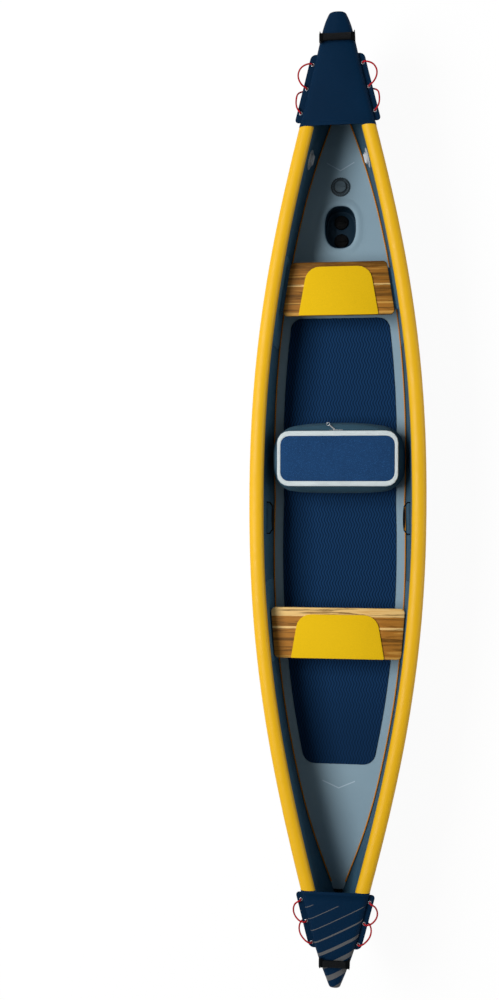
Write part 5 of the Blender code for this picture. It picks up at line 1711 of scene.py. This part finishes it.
def puffed(piece, pressure, limit):
    """Fills a shell by a short cloth simulation, with no point moving past the limit."""
    scene = bpy.context.scene
    pick(piece)
    start = [v.co.copy() for v in piece.data.vertices]
    cloth = piece.modifiers.new("filling", "CLOTH")
    cloth.settings.use_pressure = True
    cloth.settings.uniform_pressure_force = pressure
    cloth.settings.effector_weights.gravity = 0.0
    for step in range(1, 21):
        scene.frame_set(step)
    shaped = piece.evaluated_get(bpy.context.evaluated_depsgraph_get())
    moved = [v.co.copy() for v in shaped.data.vertices]
    piece.modifiers.remove(cloth)
    scene.frame_set(1)
    for vertex, was, now in zip(piece.data.vertices, start, moved):
        shift = now - was
        if shift.length > limit:
            shift *= limit / shift.length
        vertex.co = was + shift
    rounder = piece.modifiers.new("rounder", "SUBSURF")
    rounder.levels = 1
    rounder.render_levels = 1
    apply_modifiers(piece)
    return smooth(piece, 60)


@made_once
def woven_cloth(name, colour):
    """Plain woven bag cloth with soft creases."""
    f = Finish(name, 0.8, 0.06, Sheen_Weight=0.05)
    at = f.place()
    threads = f.weave(at, 0.0019)
    tone = f.mottled(at, colour, 0.82, 1.15, 12.0, 4.0)
    tone = f.mix(f.stretch(threads, -1.0, 1.0, 0.0, 0.3), tone, toned(colour, 0.55))
    creases = f.bump(f.noise(at, 24.0, 4.0, 0.6), 0.003)
    return f.done(tone, f.bump(threads, 0.0004, creases))


@made_once
def flecked_cloth(name, colour):
    """Blue panel cloth with paler flecks."""
    f = Finish(name, 0.82, 0.06, Sheen_Weight=0.04)
    at = f.place()
    flecks = f.stretch(f.noise(at, 240.0, 2.0, 0.8), 0.52, 0.66)
    cloud = f.noise(at, 7.0, 3.0)
    tone = f.mix(cloud, toned(colour, 0.85), toned(colour, 1.2))
    tone = f.mix(f.maths("MULTIPLY", flecks, 0.6), tone, toned(colour, 2.6))
    creases = f.bump(f.noise(at, 9.0, 3.0), 0.0025)
    return f.done(tone, f.bump(f.weave(at, 0.0022), 0.0004, creases))


# Handles


class CANOE_OT_fit_handles(bpy.types.Operator):
    """Makes the carry handles on the end caps and on the inner walls"""

    bl_idname = "canoe.fit_handles"
    bl_label = "Fit handles"

    def execute(self, context):
        for name, end in ENDS.items():
            self.strap(name, end)
            self.sleeve(name)
        for side_name in SIDES:
            node = side_name + "_side_handle"
            handle = rounded_copy(node, side_name + "_wall_strap", 0.0012)
            fuller = handle.modifiers.new("fuller", "DISPLACE")
            fuller.mid_level = 0.0
            fuller.strength = 0.0009
            apply_modifiers(handle)
            dress(handle, black_webbing(), side_name + "_wall_handle", "webbing_black", node)
            self.wall_grip(side_name, node)
        return {"FINISHED"}

    def wall_grip(self, side_name, node):
        """The padded grip on the strap of a handle on an inner wall."""
        low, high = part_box(node)
        side = SIDES[side_name]
        bar = (low.x if side > 0 else high.x) + side * WALL_STRAP / 2
        middle = Vector((bar, (low.y + high.y) / 2, (low.z + high.z) / 2))
        rings = []
        for k in range(25):
            share = -math.cos(math.pi * k / 24)
            end = math.sqrt(max(0.0, 1 - abs(share) ** 8))
            deep = 0.0030 + 0.0032 * end * (1 - 0.6 * share * share)
            tall = 0.0085 + 0.0020 * end
            along = share * WALL_GRIP_HALF
            ring = [Vector((a * deep, along, b * tall)) for a, b in squarish(16, 3)]
            rings.append([middle + at for at in ring])
        piece = ring_loft(side_name + "_wall_grip", rings, 50)
        dress(piece, ribbed_rubber("ribbed_rubber"), side_name + "_wall_handle", "webbing_black")

    def strap(self, name, end):
        """The webbing from one side of the cap to the other, doubled over at its bends."""
        node = name + "_handle_webbing"
        grip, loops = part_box(name + "_handle_grip"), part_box(node)
        edge = loops[1].x - BEND_THICKNESS / 2
        foot, top = loops[0].z, grip[0].z + 0.0015
        y_foot, y_top = PIVOT_FROM_TIP[end], (grip[0].y + grip[1].y) / 2
        path = []
        for degrees in (15, 30, 45, 60, 75, 90):
            a = math.radians(degrees)
            z = foot + STRAP_HALF * (1 - math.cos(a))
            path.append((edge, y_foot, z, STRAP_HALF * math.sin(a), STRAP_THICKNESS / 2))
        start_z = path[-1][2]
        for k in range(1, 6):
            share = k / 5
            z = start_z + (top - BEND_RADIUS - start_z) * share
            y = y_foot + (y_top - y_foot) * share
            half = STRAP_HALF + (BEND_HALF - STRAP_HALF) * share
            thick = STRAP_THICKNESS + (BEND_THICKNESS - STRAP_THICKNESS) * share
            path.append((edge, y, z, half, thick / 2))
        for k in range(1, 9):
            a = math.pi / 2 * k / 8
            x = edge - BEND_RADIUS * (1 - math.cos(a))
            z = top - BEND_RADIUS * (1 - math.sin(a))
            path.append((x, y_top, z, BEND_HALF - 0.004 * k / 8, BEND_THICKNESS / 2))
        path.append((edge - BEND_RADIUS - 0.003, y_top, top, 0.0185, 0.0036))
        path.append((edge - BEND_RADIUS - 0.008, y_top, top, 0.017, 0.0022))
        path += [(-x, *rest) for x, *rest in reversed(path)]
        rings = []
        line = [Vector(spot[:3]) for spot in path]
        for i, (*_, half, thick) in enumerate(path):
            along = way_along(line, i)
            wide = Vector((0, 1, 0))
            wide = (wide - along * along.dot(wide)).normalized()
            out = along.cross(wide)
            section = [wide * half * a + out * thick * b for a, b in squarish(16, 5)]
            rings.append([line[i] + shift for shift in section])
        piece = ring_loft(name + "_handle_strap", rings, 50)
        dress(piece, black_webbing(), name + "_handle", "webbing_black", node)

    def sleeve(self, name):
        """The padded sleeve round the middle of the strap, waisted for the hand."""
        node = name + "_handle_grip"
        low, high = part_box(node)
        middle = (low + high) / 2
        half_length = high.x - 0.010
        rings = []
        for k in range(33):
            share = -math.cos(math.pi * k / 32)
            x = half_length * share
            end = math.sqrt(max(0.0, 1 - abs(share) ** 14))
            wide = (0.0160 + 0.0020 * share**4) * (0.55 + 0.45 * end)
            tall = (high.z - low.z) / 2 * (0.45 + 0.55 * end)
            sag = 0.0012 * (1 - share * share)
            y, z = middle.y, middle.z - sag
            rings.append([Vector((x, y + wide * a, z + tall * b)) for a, b in squarish(20, 3)])
        piece = ring_loft(name + "_handle_sleeve", rings, 50)
        dress(piece, ribbed_rubber("ribbed_rubber"), name + "_handle", "webbing_black", node)


# Valves, drain and fins


class CANOE_OT_fit_valves(bpy.types.Operator):
    """Makes the inflation valves with their plungers and caps"""

    bl_idname = "canoe.fit_valves"
    bl_label = "Fit valves"

    def execute(self, context):
        pale = moulded("valve_grey", colours().valve, 0.35, 0.3)
        slate = moulded("floor_valve_slate", [v * 0.11 for v in colours().floor], 0.45, 0.1)
        blue = moulded("floor_valve_lid", [v * 0.28 for v in colours().floor], 0.45, 0.1)
        # Painted shade: the valve bodies are near black, for the pit round each plunger.
        pit_shade = moulded("valve_pit", [v * 0.06 for v in colours().valve], 0.6, 0.1)
        for name in ("floor", "port", "starboard"):
            ring, lid = (slate, blue) if name == "floor" else (pale, pale)
            start = name + "_valve"
            edge = VALVE_EDGE
            dressed_copy(start + "_body", start + "_flange", edge, 2, pit_shade, "hull", "valve_grey")
            dressed_copy(start + "_cap", start + "_lid", edge, 2, lid, name + "_cap", "valve_grey")
            self.crown(name, ring, lid)
            refinish(start + "_plunger", black_plastic())
        return {"FINISHED"}

    def crown(self, name, finish, rib_finish):
        """The toothed ring on the flange, for a wrench, with a gap where the cap swings open."""
        at = valve_frame(name)
        turn = at.to_3x3()
        face = at @ Vector((0, 0, VALVE_FACE[name]))
        way = turn.inverted() @ Vector(CAP_HINGE_WAY[name])
        hinge = math.atan2(way.y, way.x)

        def at_hinge(a):
            return abs((a - hinge + math.pi) % math.tau - math.pi) < CAP_HINGE_SPREAD

        rings = []
        for k in range(96):
            a = math.tau * k / 96
            bite = 1.0 if k % 4 < 2 else 0.965
            ring = []
            for r, h in CROWN_SECTION:
                reach = r * bite if r > 0.048 else r
                rise = min(h, 0.0001) if at_hinge(a) else h
                ring.append(face + turn @ Vector((reach * math.cos(a), reach * math.sin(a), rise)))
            rings.append(ring)
        dress(closed_sweep(name + "_valve_crown", rings), finish, "hull", "valve_grey")
        corners = [
            (r, half * sign, h)
            for r, half in ((0.0354, 0.0013), (0.0442, 0.0018))
            for sign in (-1, 1)
            for h in (0.0004, 0.0026)
        ]
        sides = ((0, 1, 3, 2), (4, 6, 7, 5), (0, 4, 5, 1), (2, 3, 7, 6), (1, 5, 7, 3), (0, 2, 6, 4))
        verts, faces = [], []
        for k in range(CROWN_RIBS):
            a = math.tau * k / CROWN_RIBS
            if at_hinge(a):
                continue
            spin = Matrix.Rotation(a, 3, "Z")
            base = len(verts)
            verts += [face + turn @ spin @ Vector(corner) for corner in corners]
            faces += [tuple(base + n for n in quad) for quad in sides]
        ribs = mesh_piece(name + "_valve_ribs", verts, faces)
        dress(ribs, rib_finish, "hull", "valve_grey")


def valve_frame(name):
    """The frame of a valve: its Z points out of the flange."""
    if name == "floor":
        return Matrix.Translation((0, FLOOR_VALVE_AT, KEEL_Z + FLOOR_HEIGHT))
    side = SIDES[name]
    u, height, step = station_at(SIDE_VALVE_AT), SIDE_VALVE_HEIGHT, 0.01
    here = place(u, side * inner_x(u, height), height)
    along = place(u + step, side * inner_x(u + step, height), height) - here
    rise = place(u, side * inner_x(u, height + step), height + step) - here
    normal = along.cross(rise).normalized()
    if normal.x * side > 0:
        normal = -normal
    found = normal.to_track_quat("Z", "Y").to_matrix().to_4x4()
    found.translation = here
    return found


class CANOE_OT_fit_drain(bpy.types.Operator):
    """Makes the drain recess's plate and its two plugs"""

    bl_idname = "canoe.fit_drain"
    bl_label = "Fit drain"

    def execute(self, context):
        recess = moulded("recess_navy", colours().recess, 0.5, 0.08)
        dressed_copy("drain_plate", "drain_tray", VALVE_EDGE, 2, recess, "hull", "recess_navy")
        self.cup(recess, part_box("drain_plate")[1].z)
        for end in ENDS:
            node, body, slot = "drain_plug_" + end, end + "_drain_plug", "plastic_black"
            dressed_copy(node, end + "_drain_stopper", PLUG_EDGE, 2, black_plastic(), body, slot)
            low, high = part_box(node)
            face = (low + high) / 2
            face.z = high.z - PLUG_GRIP_RISE
            for number, radius in enumerate(PLUG_RINGS, 1):
                name = f"{end}_drain_ring_{number}"
                ring = torus_piece(name, face, radius, PLUG_RING_WIRE, 0.8, 40)
                dress(ring, black_plastic(), body, slot)
        return {"FINISHED"}

    def cup(self, finish, foot):
        """The recess's oval wall, with a foot on the plate and a bead under the floor's edge."""
        top = KEEL_Z + FLOOR_HEIGHT
        profile = [
            (-0.010, foot + 0.0004), (-0.004, foot + 0.0012), (-DRAIN_CUP_WALL, foot + 0.005),
            (-DRAIN_CUP_WALL, top - 0.004), (-DRAIN_CUP_WALL - 0.0012, top - 0.0025),
            (-DRAIN_CUP_WALL - 0.0008, top - 0.0008), (-0.0012, top - 0.0004),
            (-0.0002, top - 0.002), (-0.0002, foot + 0.0002), (-0.010, foot + 0.0002),
        ]
        rings = []
        for k in range(DRAIN_STEPS):
            rim, normal = oval_point(DRAIN_HALF, math.tau * k / DRAIN_STEPS)
            rings.append([rim + normal * out + Vector((0, DRAIN_AT, z)) for out, z in profile])
        cup = closed_sweep("drain_cup", rings)
        dress(cup, finish, "hull", "recess_navy")


class CANOE_OT_fit_fins(bpy.types.Operator):
    """Makes the fins and the boxes that hold them"""

    bl_idname = "canoe.fit_fins"
    bl_label = "Fit fins"

    def execute(self, context):
        plastic, slot = black_plastic(), "plastic_black"
        for end in ENDS:
            fin = end + "_fin"
            dressed_copy(fin + "_box", fin + "_base", 0.0, 3, plastic, "hull", slot)
            dressed_copy(fin, fin + "_blade", FIN_EDGE, 3, plastic, end + "_blade", slot)
        return {"FINISHED"}


PIECE_OPERATORS = (
    CANOE_OT_set_stage,
    CANOE_OT_lay_cords,
    CANOE_OT_skin_hull,
    CANOE_OT_fit_end_caps,
    CANOE_OT_lay_floor,
    CANOE_OT_fit_benches,
    CANOE_OT_stuff_bag,
    CANOE_OT_fit_handles,
    CANOE_OT_fit_valves,
    CANOE_OT_fit_drain,
    CANOE_OT_fit_fins,
)


class CANOE_PT_tools(bpy.types.Panel):
    """Sizes, colours and steps of the canoe"""

    bl_label = "Inflatable canoe"
    bl_idname = "CANOE_PT_tools"
    bl_space_type = "VIEW_3D"
    bl_region_type = "UI"
    bl_category = "Canoe"

    def draw(self, context):
        for group in (context.scene.canoe_sizes, context.scene.canoe_colours):
            box = self.layout.box()
            for key in group.bl_rna.properties.keys():
                if key not in {"rna_type", "name"}:
                    box.prop(group, key)
        for operator in PIECE_OPERATORS:
            self.layout.operator(operator.bl_idname)


CLASSES = (CanoeSizes, CanoeColours, *PIECE_OPERATORS, CANOE_PT_tools)


def register():
    for item in CLASSES:
        bpy.utils.register_class(item)
    bpy.types.Scene.canoe_sizes = bpy.props.PointerProperty(type=CanoeSizes)
    bpy.types.Scene.canoe_colours = bpy.props.PointerProperty(type=CanoeColours)


def unregister():
    del bpy.types.Scene.canoe_colours
    del bpy.types.Scene.canoe_sizes
    for item in reversed(CLASSES):
        bpy.utils.unregister_class(item)


def main():
    register()
    deselect()
    bpy.ops.canoe.set_stage()
    bpy.ops.canoe.lay_cords()
    bpy.ops.canoe.skin_hull()
    bpy.ops.canoe.fit_end_caps()
    bpy.ops.canoe.lay_floor()
    bpy.ops.canoe.fit_benches()
    bpy.ops.canoe.stuff_bag()
    bpy.ops.canoe.fit_handles()
    bpy.ops.canoe.fit_valves()
    bpy.ops.canoe.fit_drain()
    bpy.ops.canoe.fit_fins()
    deselect()


if __name__ == "__main__":
    main()
